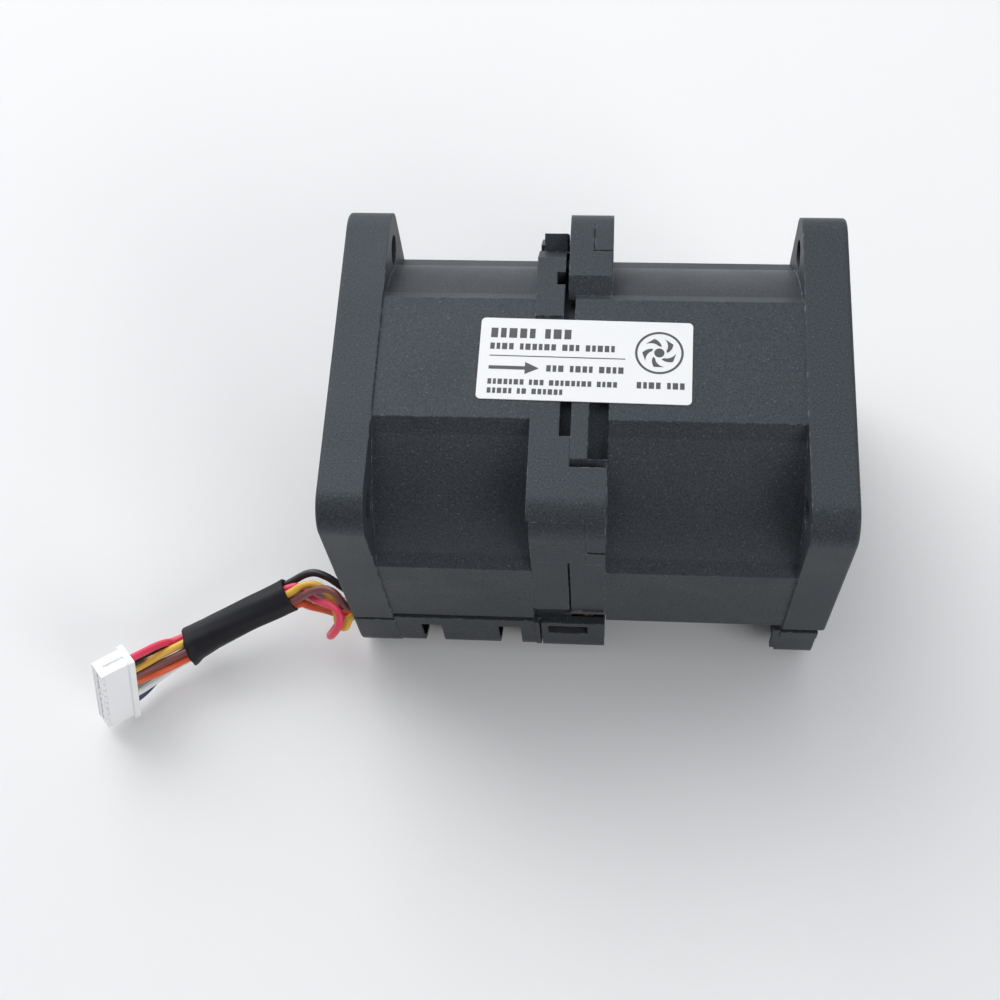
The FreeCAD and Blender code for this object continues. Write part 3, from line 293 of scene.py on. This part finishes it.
def bump(tree, height, distance, strength, normal=None):
    node = make_node(tree, "ShaderNodeBump", {"Strength": strength, "Distance": distance})
    tree.links.new(height, node.inputs["Height"])
    if normal is not None:
        tree.links.new(normal, node.inputs["Normal"])
    return node.outputs["Normal"]


def surface(name, dark, light, roughness, metallic=0.0, cloud=CLOUD_SCALE, grain=GRAIN_SCALE,
            specular=SPECULAR):
    # A finish with clouded colour, uneven gloss and a fine grain.
    material, tree, shader = start_material(name)
    clouds = noise(tree, cloud)
    tree.links.new(blend_colours(tree, clouds, dark, light), shader.inputs["Base Color"])
    gloss = spread(tree, clouds, roughness - GLOSS_SPREAD, roughness + GLOSS_SPREAD)
    tree.links.new(gloss, shader.inputs["Roughness"])
    grained = bump(tree, noise(tree, grain), GRAIN_DEPTH, GRAIN_STRENGTH)
    tree.links.new(grained, shader.inputs["Normal"])
    shader.inputs["Metallic"].default_value = metallic
    shader.inputs["Specular IOR Level"].default_value = specular
    return material


def edge_share(tree, edge):
    # Near 1 where the softened normal leaves the face's own normal, broken up by noise: the mask of the
    # lighter edges, partly scuffs and partly a painted highlight.
    faces = make_node(tree, "ShaderNodeNewGeometry")
    turn = make_node(tree, "ShaderNodeVectorMath", operation="DOT_PRODUCT")
    tree.links.new(edge.outputs["Normal"], turn.inputs[0])
    tree.links.new(faces.outputs["Normal"], turn.inputs[1])
    at_edge = spread(tree, turn.outputs["Value"], 0.0, 1.0, EDGE_STARTS, EDGE_FULL)
    worn_and_highlit = make_node(tree, "ShaderNodeMath", operation="MULTIPLY")
    tree.links.new(at_edge, worn_and_highlit.inputs[0])
    patchy = spread(tree, noise(tree, SCUFF_AND_HIGHLIGHT_SCALE), 0.0, SCUFF_AND_HIGHLIGHT_SHARE, *SCUFF_AND_HIGHLIGHT_RANGE)
    tree.links.new(patchy, worn_and_highlit.inputs[1])
    return worn_and_highlit.outputs["Value"]


def moulded_plastic(name, dark, light, roughness, edge_r):
    # Black moulded plastic: softened edges with light scuffs that partly paint an edge highlight, dust
    # specks and a fine grain.
    material, tree, shader = start_material(name)
    clouds = noise(tree, PLASTIC_CLOUD)
    edge = make_node(tree, "ShaderNodeBevel", {"Radius": edge_r}, samples=EDGE_SAMPLES)
    specks = spread(tree, noise(tree, PLASTIC_GRAIN, SPECK_DETAIL), 0.0, SPECK_SHARE, *SPECK_RANGE)
    mottle = spread(tree, noise(tree, PLASTIC_GRAIN, MOTTLE_DETAIL), 0.0, MOTTLE_SHARE)
    base = blend_colours(tree, mottle, blend_colours(tree, clouds, dark, light), MOTTLE_COLOUR)
    dusty = blend_colours(tree, specks, base, DUST_COLOUR)
    # Edges painted lighter: partly scuffs, partly a painted highlight
    worn_and_highlit = blend_colours(tree, edge_share(tree, edge), dusty, SCUFF_AND_PAINTED_HIGHLIGHT_COLOUR)
    tree.links.new(worn_and_highlit, shader.inputs["Base Color"])
    gloss = spread(tree, clouds, roughness - PLASTIC_GLOSS_SPREAD, roughness + PLASTIC_GLOSS_SPREAD)
    tree.links.new(gloss, shader.inputs["Roughness"])
    grained = bump(tree, noise(tree, PLASTIC_GRAIN), PLASTIC_GRAIN_DEPTH, PLASTIC_GRAIN_STRENGTH,
                   edge.outputs["Normal"])
    tree.links.new(grained, shader.inputs["Normal"])
    shader.inputs["Specular IOR Level"].default_value = PLASTIC_SPECULAR
    shader.inputs["Specular Tint"].default_value = PLASTIC_SHEEN
    return material


def lane_colours(name, wires):
    # Insulation that takes the colour of each wire from its lane in the channel.
    material, tree, shader = start_material(name)
    place = make_node(tree, "ShaderNodeTexCoord")
    parts = make_node(tree, "ShaderNodeSeparateXYZ")
    tree.links.new(place.outputs["Object"], parts.inputs["Vector"])
    across = make_node(tree, "ShaderNodeMath", operation="SUBTRACT")
    tree.links.new(parts.outputs["Z"], across.inputs[0])
    tree.links.new(parts.outputs["Y"], across.inputs[1])
    low = (LANES[0] - LANE_STEP / 2.0) * ROOT_TWO + AXIS_Z
    high = (LANES[-1] + LANE_STEP / 2.0) * ROOT_TWO + AXIS_Z
    lane = spread(tree, across.outputs["Value"], 0.0, 1.0, low * MM, high * MM)
    ramp = make_node(tree, "ShaderNodeValToRGB")
    ramp.color_ramp.interpolation = "CONSTANT"
    while len(ramp.color_ramp.elements) < len(wires):
        ramp.color_ramp.elements.new(1.0)
    for index, wire in enumerate(wires):
        ramp.color_ramp.elements[index].position = index / len(wires)
        ramp.color_ramp.elements[index].color = (*WIRE_COLOURS[wire], 1.0)
    tree.links.new(lane, ramp.inputs["Fac"])
    tree.links.new(ramp.outputs["Color"], shader.inputs["Base Color"])
    gloss = spread(tree, noise(tree, WIRE_CLOUD), *LEAD_GLOSS)
    tree.links.new(gloss, shader.inputs["Roughness"])
    return material


def dress(piece, material):
    piece.data.materials.clear()
    piece.data.materials.append(material)


# Finishes of the solids: name, darker and lighter colour, roughness
FRAME_PLASTIC = moulded_plastic("frame_plastic", (0.016, 0.0185, 0.022), (0.0245, 0.0275, 0.032), 0.5,
                                FRAME_EDGE)
BLADE_PLASTIC = moulded_plastic("impeller_plastic", (0.02, 0.021, 0.023), (0.03, 0.031, 0.033), 0.45,
                                BLADE_EDGE)
SLEEVE_PLASTIC = surface("sleeve_plastic", (0.008, 0.008, 0.011), (0.013, 0.013, 0.016), 0.55,
                         specular=0.25)
CONNECTOR_PLASTIC = surface("connector_plastic", (0.92, 0.92, 0.92), (0.95, 0.95, 0.95), 0.42)
LABEL_FILM = surface("label_film", (0.75, 0.75, 0.75), (0.80, 0.80, 0.80), 0.42)
INK = surface("print_ink", (0.045, 0.045, 0.048), (0.075, 0.075, 0.078), 0.5, cloud=INK_CLOUD)
FINISHES = {
    "frame": FRAME_PLASTIC,
    "impeller": BLADE_PLASTIC,
    "label": LABEL_FILM,
    "bearing_tube": surface("brass", (0.55, 0.38, 0.14), (0.68, 0.50, 0.22), 0.32, METAL),
    "bearing_outer_rings": surface("ring_steel", (0.52, 0.53, 0.55), (0.62, 0.63, 0.65), 0.2, METAL),
    "bearing_inner_rings": surface("inner_ring_steel", (0.52, 0.53, 0.55), (0.62, 0.63, 0.65), 0.2, METAL),
    "bearing_balls": surface("ball_steel", (0.60, 0.61, 0.63), (0.68, 0.69, 0.71), 0.12, METAL),
    "stator_core": surface("core_steel", (0.25, 0.26, 0.28), (0.38, 0.39, 0.41), 0.42, METAL),
    "insulator": surface("insulator_plastic", (0.55, 0.52, 0.42), (0.66, 0.63, 0.52), 0.5),
    "coils": surface("copper_wire", (0.50, 0.19, 0.07), (0.66, 0.28, 0.11), 0.3, METAL),
    "circuit_board": surface("board", (0.02, 0.14, 0.05), (0.03, 0.20, 0.08), 0.35),
    "driver_chip": surface("chip_plastic", (0.015, 0.015, 0.017), (0.025, 0.025, 0.027), 0.5),
    "hall_sensor": surface("sensor_plastic", (0.015, 0.015, 0.017), (0.025, 0.025, 0.027), 0.5),
    "capacitors": surface("ceramic", (0.34, 0.22, 0.12), (0.46, 0.32, 0.20), 0.45),
    "rotor_yoke": surface("yoke_steel", (0.36, 0.37, 0.39), (0.48, 0.49, 0.51), 0.35, METAL),
    "ring_magnet": surface("bonded_magnet", (0.03, 0.03, 0.032), (0.05, 0.05, 0.052), 0.7),
    "shaft_bush": surface("bush_brass", (0.55, 0.38, 0.14), (0.68, 0.50, 0.22), 0.3, METAL),
    "shaft": surface("shaft_steel", (0.56, 0.57, 0.59), (0.66, 0.67, 0.69), 0.16, METAL),
    "retaining_clip": surface("clip_steel", (0.30, 0.31, 0.33), (0.42, 0.43, 0.45), 0.3, METAL),
    "preload_spring": surface("spring_steel", (0.42, 0.43, 0.45), (0.52, 0.53, 0.55), 0.25, METAL),
    "front_leads": lane_colours("front_insulation", ("black", "white", "grey", "brown")),
    "rear_leads": lane_colours("rear_insulation", ("red", "blue", "orange", "yellow")),
    "terminals": surface("terminal_metal", (0.55, 0.54, 0.50), (0.66, 0.65, 0.61), 0.3, METAL),
    "connector_housing": CONNECTOR_PLASTIC,
    "heat_shrink_sleeve": SLEEVE_PLASTIC,
}
for name, piece in nodes.items():
    kinds = [kind for kind in FINISHES if name.endswith(kind)]
    if kinds:
        dress(piece, FINISHES[max(kinds, key=len)])


# Pieces

def link(piece):
    bpy.context.scene.collection.objects.link(piece)
    return piece


def mesh_piece(name, points, faces, material, smooth=False):
    mesh = bpy.data.meshes.new(name)
    mesh.from_pydata([point * MM for point in points], [], faces)
    mesh.update()
    for face in mesh.polygons:
        face.use_smooth = smooth
    piece = link(bpy.data.objects.new(name, mesh))
    dress(piece, material)
    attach(piece, HOUSING)
    return piece


# Sleeve

def channel_point(x, layer, lane):
    return Vector((x, -(layer + lane) / ROOT_TWO, AXIS_Z - (layer - lane) / ROOT_TWO))


OUTLET = channel_point(FRONT_X, LAYERS[0], LANES[0])
SLEEVE_FAN_END = OUTLET + SLEEVE_FAN_OFFSET
SLEEVE_PLUG_END = OUTLET + SLEEVE_PLUG_OFFSET
CONNECTOR_CORNER = OUTLET + CONNECTOR_OFFSET
SLEEVE_HEADING = (SLEEVE_PLUG_END - SLEEVE_FAN_END).normalized()


def around_sleeve(turn):
    up = (Vector((0, 0, 1)) - SLEEVE_HEADING * SLEEVE_HEADING.z).normalized()
    near = up.cross(SLEEVE_HEADING)
    return up * math.cos(turn) + near * math.sin(turn)


def sleeve_place(centre, angle):
    if angle is None:
        return centre.copy()
    return centre + around_sleeve(math.radians(angle)) * BUNDLE_R


def sleeve_form(share):
    # Radius and bow at a share of the length, eased from one stated place to the next.
    for (start, *first), (end, *last) in zip(SLEEVE_PROFILE, SLEEVE_PROFILE[1:]):
        if share <= end:
            part = (share - start) / (end - start)
            ease = part * part * (3.0 - 2.0 * part)
            return [low + (high - low) * ease for low, high in zip(first, last)]
    return SLEEVE_PROFILE[-1][1:]


def sleeve_point(share, turn, inner):
    length = (SLEEVE_PLUG_END - SLEEVE_FAN_END).length
    radius, bow = sleeve_form(share)
    radius += SLEEVE_LOBE * math.cos(SLEEVE_LOBES * turn + SLEEVE_LOBE_TWIST * share)
    if inner:
        radius = max(radius - SLEEVE_WALL, SLEEVE_INNER)
    slant = max(0.0, (share - SLEEVE_SLANT_START) / (1.0 - SLEEVE_SLANT_START))
    longer = SLEEVE_SLANT * (1.0 + math.cos(turn - SLEEVE_LONG_SIDE)) / 2.0
    ragged = SLEEVE_RAGGED * sum(math.sin(waves * turn) for waves in RAGGED_WAVES)
    along = share * length + slant * (longer + ragged - SLEEVE_SLANT / 2.0)
    middle = SLEEVE_FAN_END + SLEEVE_HEADING * along - around_sleeve(SLEEVE_LONG_SIDE) * bow
    return middle + around_sleeve(turn) * radius


def sleeve_piece():
    points = []
    shares = [ring / SLEEVE_RINGS for ring in range(SLEEVE_RINGS + 1)]
    rings = [(share, False) for share in shares] + [(share, True) for share in reversed(shares)]
    for share, inner in rings:
        for side in range(SLEEVE_SIDES):
            points.append(sleeve_point(share, 2.0 * math.pi * side / SLEEVE_SIDES, inner))
    faces = []
    for ring in range(len(rings)):
        following = (ring + 1) % len(rings)
        for side in range(SLEEVE_SIDES):
            beside = (side + 1) % SLEEVE_SIDES
            faces.append((ring * SLEEVE_SIDES + side, ring * SLEEVE_SIDES + beside,
                          following * SLEEVE_SIDES + beside, following * SLEEVE_SIDES + side))
    piece = mesh_piece("shrunk_sleeve", points, faces, SLEEVE_PLASTIC, True)
    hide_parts("heat_shrink_sleeve")
    return piece


# Connector

def connector_axes():
    up = CONNECTOR_UP.normalized()
    out = (CONNECTOR_OUT - up * CONNECTOR_OUT.dot(up)).normalized()
    return up, out, up.cross(out)


UPWARD, OUTWARD, NEARWARD = connector_axes()


def row_height(row):
    return CONNECTOR_END_WALL + (len(WIRES) - 1 - row) * CONNECTOR_PITCH


def connector_entry(row):
    return CONNECTOR_CORNER + UPWARD * row_height(row) - NEARWARD * (CONNECTOR_THICK / 2.0)


def connector_boxes():
    # Corners of blocks: depth from the wire side, thickness from the far side, height from the lower end.
    length = row_height(0) + CONNECTOR_END_WALL
    far, near = CONNECTOR_STEP, CONNECTOR_THICK - CONNECTOR_STEP
    low, high = CONNECTOR_STEP, length - CONNECTOR_STEP
    inner_far = (CONNECTOR_THICK - CAVITY_HEIGHT) / 2.0
    inner_near = inner_far + CAVITY_HEIGHT
    inner_low = CONNECTOR_END_WALL - CAVITY_WIDTH / 2.0
    inner_high = length - inner_low
    teeth = CONNECTOR_DEPTH - CONNECTOR_TOOTH
    boxes = [
        ((0.0, 0.0, 0.0), (CONNECTOR_PLATE, CONNECTOR_THICK, length)),
        ((CONNECTOR_PLATE / 2.0, far + OVERLAP, low + OVERLAP),
         (WIRE_ENTRY, near - OVERLAP, high - OVERLAP)),
        ((CONNECTOR_PLATE / 2.0, far, low), (CONNECTOR_DEPTH, inner_far, high)),
        ((CONNECTOR_PLATE / 2.0, inner_near, low), (teeth, near, high)),
        ((CONNECTOR_PLATE / 2.0, far + FACE_STEP, low + FACE_STEP),
         (CONNECTOR_DEPTH - FACE_STEP, near - FACE_STEP, inner_low)),
        ((CONNECTOR_PLATE / 2.0, far + FACE_STEP, inner_high),
         (CONNECTOR_DEPTH - FACE_STEP, near - FACE_STEP, high - FACE_STEP)),
        ((CONNECTOR_PLATE / 2.0, far + OVERLAP, inner_high),
         (CONNECTOR_DEPTH - RAIL_INSET, CONNECTOR_THICK / 2.0, high + RAIL_PROUD)),
    ]
    half_tooth = (CONNECTOR_PITCH - CONNECTOR_TOOTH_GAP) / 2.0
    half_divider = (CONNECTOR_PITCH - CAVITY_WIDTH) / 2.0
    cover_end = CONNECTOR_DEPTH - COVER_INSET
    cover_start = cover_end - COVER_THICK
    slot_far = (CONNECTOR_THICK - PIN_SLOT) / 2.0
    slot_near = slot_far + PIN_SLOT
    for cover_low, cover_high in ((inner_far - OVERLAP, slot_far), (slot_near, inner_near + OVERLAP)):
        boxes.append(((cover_start, cover_low, inner_low), (cover_end, cover_high, inner_high)))
    for row in range(len(WIRES)):
        height = row_height(row)
        boxes.append(((teeth - OVERLAP, inner_near, height - half_tooth),
                      (CONNECTOR_DEPTH, near - FACE_STEP, height + half_tooth)))
        if row:
            between = height + CONNECTOR_PITCH / 2.0
            boxes.append(((CONNECTOR_PLATE, inner_far - OVERLAP, between - half_divider),
                          (cover_end - FACE_STEP, inner_near + OVERLAP, between + half_divider)))
    return boxes


def connector_piece():
    place = Matrix((OUTWARD, NEARWARD, UPWARD)).transposed().to_4x4()
    place.translation = CONNECTOR_CORNER - NEARWARD * CONNECTOR_THICK
    shape = bmesh.new()
    for low, high in connector_boxes():
        size = Vector(high) - Vector(low)
        middle = Matrix.Translation((Vector(low) + Vector(high)) / 2.0)
        bmesh.ops.create_cube(shape, size=1.0, matrix=place @ middle @ Matrix.Diagonal((*size, 1.0)))
    bmesh.ops.bevel(shape, geom=shape.edges[:], offset=CONNECTOR_EDGE, segments=EDGE_STEPS,
                    affect="EDGES")
    shape.verts.index_update()
    points = [vertex.co.copy() for vertex in shape.verts]
    faces = [[vertex.index for vertex in face.verts] for face in shape.faces]
    shape.free()
    piece = mesh_piece("connector_shell", points, faces, CONNECTOR_PLASTIC)
    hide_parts("connector_housing")
    return piece


# Wires

def wire_route(name):
    layer, lane, angle, row, fan_points, plug_points = WIRES[name]
    fan_angle = None if angle is None else angle - BUNDLE_TWIST
    route = [channel_point(FRONT_X, LAYERS[layer], LANES[lane])]
    route += [OUTLET + Vector(point) for point in fan_points]
    route.append(sleeve_place(SLEEVE_FAN_END - SLEEVE_HEADING * SLEEVE_FAN_EXIT, fan_angle))
    route.append(sleeve_place(SLEEVE_PLUG_END + SLEEVE_HEADING * SLEEVE_PLUG_EXIT, angle))
    route += [OUTLET + Vector(point) for point in plug_points]
    entry = connector_entry(row)
    route.append(entry - OUTWARD * WIRE_D)
    route.append(entry + OUTWARD * WIRE_ENTRY)
    return route


def wire_curve(name, route, diameter):
    curve = bpy.data.curves.new(name, "CURVE")
    curve.dimensions = "3D"
    curve.bevel_depth = diameter * MM / 2.0
    curve.bevel_resolution = WIRE_SIDES
    curve.resolution_u = WIRE_STEPS
    spline = curve.splines.new("NURBS")
    spline.points.add(len(route) - 1)
    for point, place in zip(spline.points, route):
        point.co = (*(place * MM), 1.0)
    spline.order_u = WIRE_ORDER
    spline.use_endpoint_u = True
    return link(bpy.data.objects.new(name, curve))


def free_wires(on_cord):
    for name in WIRES:
        route = wire_route(name)
        piece = wire_curve(name + "_lead_wire", route, WIRE_D)
        colour = WIRE_COLOURS[name]
        lighter = tuple(min(1.0, WIRE_LIGHTER * part) for part in colour)
        dress(piece, surface(name + "_insulation", colour, lighter, WIRE_ROUGHNESS, cloud=WIRE_CLOUD))
        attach(piece, HOUSING)
        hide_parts(name + "_wire")


# Label

def on_label(x, y, height):
    return LABEL_PLACE + Matrix.Rotation(LABEL_TURN, 3, "Z") @ Vector((x, y, height))


def rounded_outline():
    outline = []
    for quarter, (side_x, side_y) in enumerate(((1, 1), (-1, 1), (-1, -1), (1, -1))):
        centre_x = side_x * (LABEL_LENGTH / 2.0 - LABEL_CORNER)
        centre_y = side_y * (LABEL_WIDTH / 2.0 - LABEL_CORNER)
        for step in range(CORNER_STEPS + 1):
            turn = math.pi / 2.0 * (quarter + step / CORNER_STEPS)
            across = LABEL_CORNER * math.cos(turn)
            along = LABEL_CORNER * math.sin(turn)
            outline.append((centre_x + across, centre_y + along))
    return outline


def label_piece():
    outline = rounded_outline()
    count = len(outline)
    points = [on_label(x, y, height) for height in (0.0, LABEL_THICK) for x, y in outline]
    faces = [list(range(count, 2 * count)), list(reversed(range(count)))]
    for index in range(count):
        beside = (index + 1) % count
        faces.append((index, beside, count + beside, count + index))
    piece = mesh_piece("label_sheet", points, faces, LABEL_FILM)
    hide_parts("label")


def bar(x0, x1, y0, y1):
    return [(x0, y0), (x1, y0), (x1, y1), (x0, y1)]


def word_row(x, y, height, words):
    # A row of small blocks in groups, each group as long as a word.
    marks = []
    for word, count in enumerate(words):
        for glyph in range(count):
            width = GLYPH_WIDTHS[(glyph + word) % len(GLYPH_WIDTHS)] * height
            marks.append(bar(x, x + width, y, y + height))
            x += width + GLYPH_GAP * height
        x += WORD_SPACE * height
    return marks


def arrow(x, y):
    head_x = x + ARROW_LENGTH - ARROW_HEAD
    half_shaft = ARROW_SHAFT / 2.0
    half_head = ARROW_HEAD / 2.0
    return [bar(x, head_x, y - half_shaft, y + half_shaft),
            [(head_x, y - half_head), (x + ARROW_LENGTH, y), (head_x, y + half_head)]]


def fan_sign():
    # A ring round a hub with curved blades.
    centre_x, centre_y = FAN_SIGN_PLACE

    def polar(radius, turn):
        return (centre_x + radius * math.cos(turn), centre_y + radius * math.sin(turn))

    step = 2.0 * math.pi / FAN_SIGN_STEPS
    inner = FAN_SIGN_R - FAN_SIGN_LINE
    marks = [[polar(FAN_SIGN_HUB, index * step) for index in range(FAN_SIGN_STEPS)]]
    for index in range(FAN_SIGN_STEPS):
        turn = index * step
        marks.append([polar(inner, turn), polar(FAN_SIGN_R, turn),
                      polar(FAN_SIGN_R, turn + step), polar(inner, turn + step)])
    blade_pitch = 2.0 * math.pi / FAN_SIGN_BLADES
    reach = inner - 2.0 * FAN_SIGN_LINE
    root = FAN_SIGN_HUB + FAN_SIGN_LINE
    for blade in range(FAN_SIGN_BLADES):
        turn = blade * blade_pitch
        shares = [part / CORNER_STEPS for part in range(CORNER_STEPS + 1)]
        front = []
        back = []
        for part in shares:
            radius = root + (reach - root) * part
            front.append(polar(radius, turn + BLADE_SWEEP * blade_pitch * part))
            back.append(polar(radius, turn + blade_pitch * (BLADE_WIDTH + BACK_SWEEP * part)))
        for index in range(CORNER_STEPS):
            marks.append([front[index], front[index + 1], back[index + 1], back[index]])
    return marks


def label_print():
    marks = [bar(PRINT_LEFT, RULE_END, RULE_Y, RULE_Y + RULE_THICK)]
    marks += arrow(PRINT_LEFT, ARROW_Y)
    marks += fan_sign()
    for row in PRINT_ROWS:
        marks += word_row(*row)
    points = []
    faces = []
    for mark in marks:
        faces.append(list(range(len(points), len(points) + len(mark))))
        points += [on_label(x, y, LABEL_THICK + PRINT_LIFT) for x, y in mark]
    piece = mesh_piece("label_print", points, faces, INK)


label_piece()
label_print()
free_wires([connector_piece(), nodes["connector_terminals"], sleeve_piece()])


# Floor, light and camera

def softbox(name, place, size, power):
    light = bpy.data.lights.new(name, "AREA")
    light.size = size
    light.energy = power
    lamp = link(bpy.data.objects.new(name, light))
    lamp.location = place
    lamp.rotation_euler = (-place).to_track_quat("-Z", "Y").to_euler()


def studio():
    mesh = bpy.data.meshes.new("floor")
    corners = [(-FLOOR_HALF, -FLOOR_HALF, 0), (FLOOR_HALF, -FLOOR_HALF, 0),
               (FLOOR_HALF, FLOOR_HALF, 0), (-FLOOR_HALF, FLOOR_HALF, 0)]
    mesh.from_pydata(corners, [], [(0, 1, 2, 3)])
    floor = link(bpy.data.objects.new("floor", mesh))
    dress(floor, surface("floor_cloth", FLOOR_DARK, FLOOR_LIGHT, FLOOR_ROUGHNESS, cloud=FLOOR_CLOUD,
                         grain=FLOOR_GRAIN))
    softbox("back_softbox", SOFTBOX_PLACE, SOFTBOX_SIZE, SOFTBOX_POWER)
    softbox("overhead_softbox", OVERHEAD_PLACE, OVERHEAD_SIZE, OVERHEAD_POWER)
    softbox("side_fill", FILL_PLACE, FILL_SIZE, FILL_POWER)
    world = bpy.data.worlds.new("studio")
    world.use_nodes = True
    tree = world.node_tree
    sky = tree.nodes["Background"]
    sky.inputs["Color"].default_value = SKY_COLOUR
    heading = make_node(tree, "ShaderNodeTexCoord")
    parts = make_node(tree, "ShaderNodeSeparateXYZ")
    tree.links.new(heading.outputs["Generated"], parts.inputs["Vector"])
    brightness = spread(tree, parts.outputs["Y"], SKY_NEAR, SKY_FAR, -1.0, 1.0)
    tree.links.new(brightness, sky.inputs["Strength"])
    bpy.context.scene.world = world


def photo_camera():
    lens = bpy.data.cameras.new("camera")
    lens.lens = CAMERA_LENS
    lens.clip_start = CAMERA_NEAR
    camera = link(bpy.data.objects.new("camera", lens))
    aim = (CAMERA_TARGET - CAMERA_PLACE).to_track_quat("-Z", "Y").to_matrix().to_4x4()
    camera.matrix_world = Matrix.Translation(CAMERA_PLACE) @ aim @ Matrix.Rotation(-CAMERA_ROLL, 4, "Z")
    bpy.context.scene.camera = camera


studio()
photo_camera()
bpy.context.scene.view_settings.view_transform = "Standard"
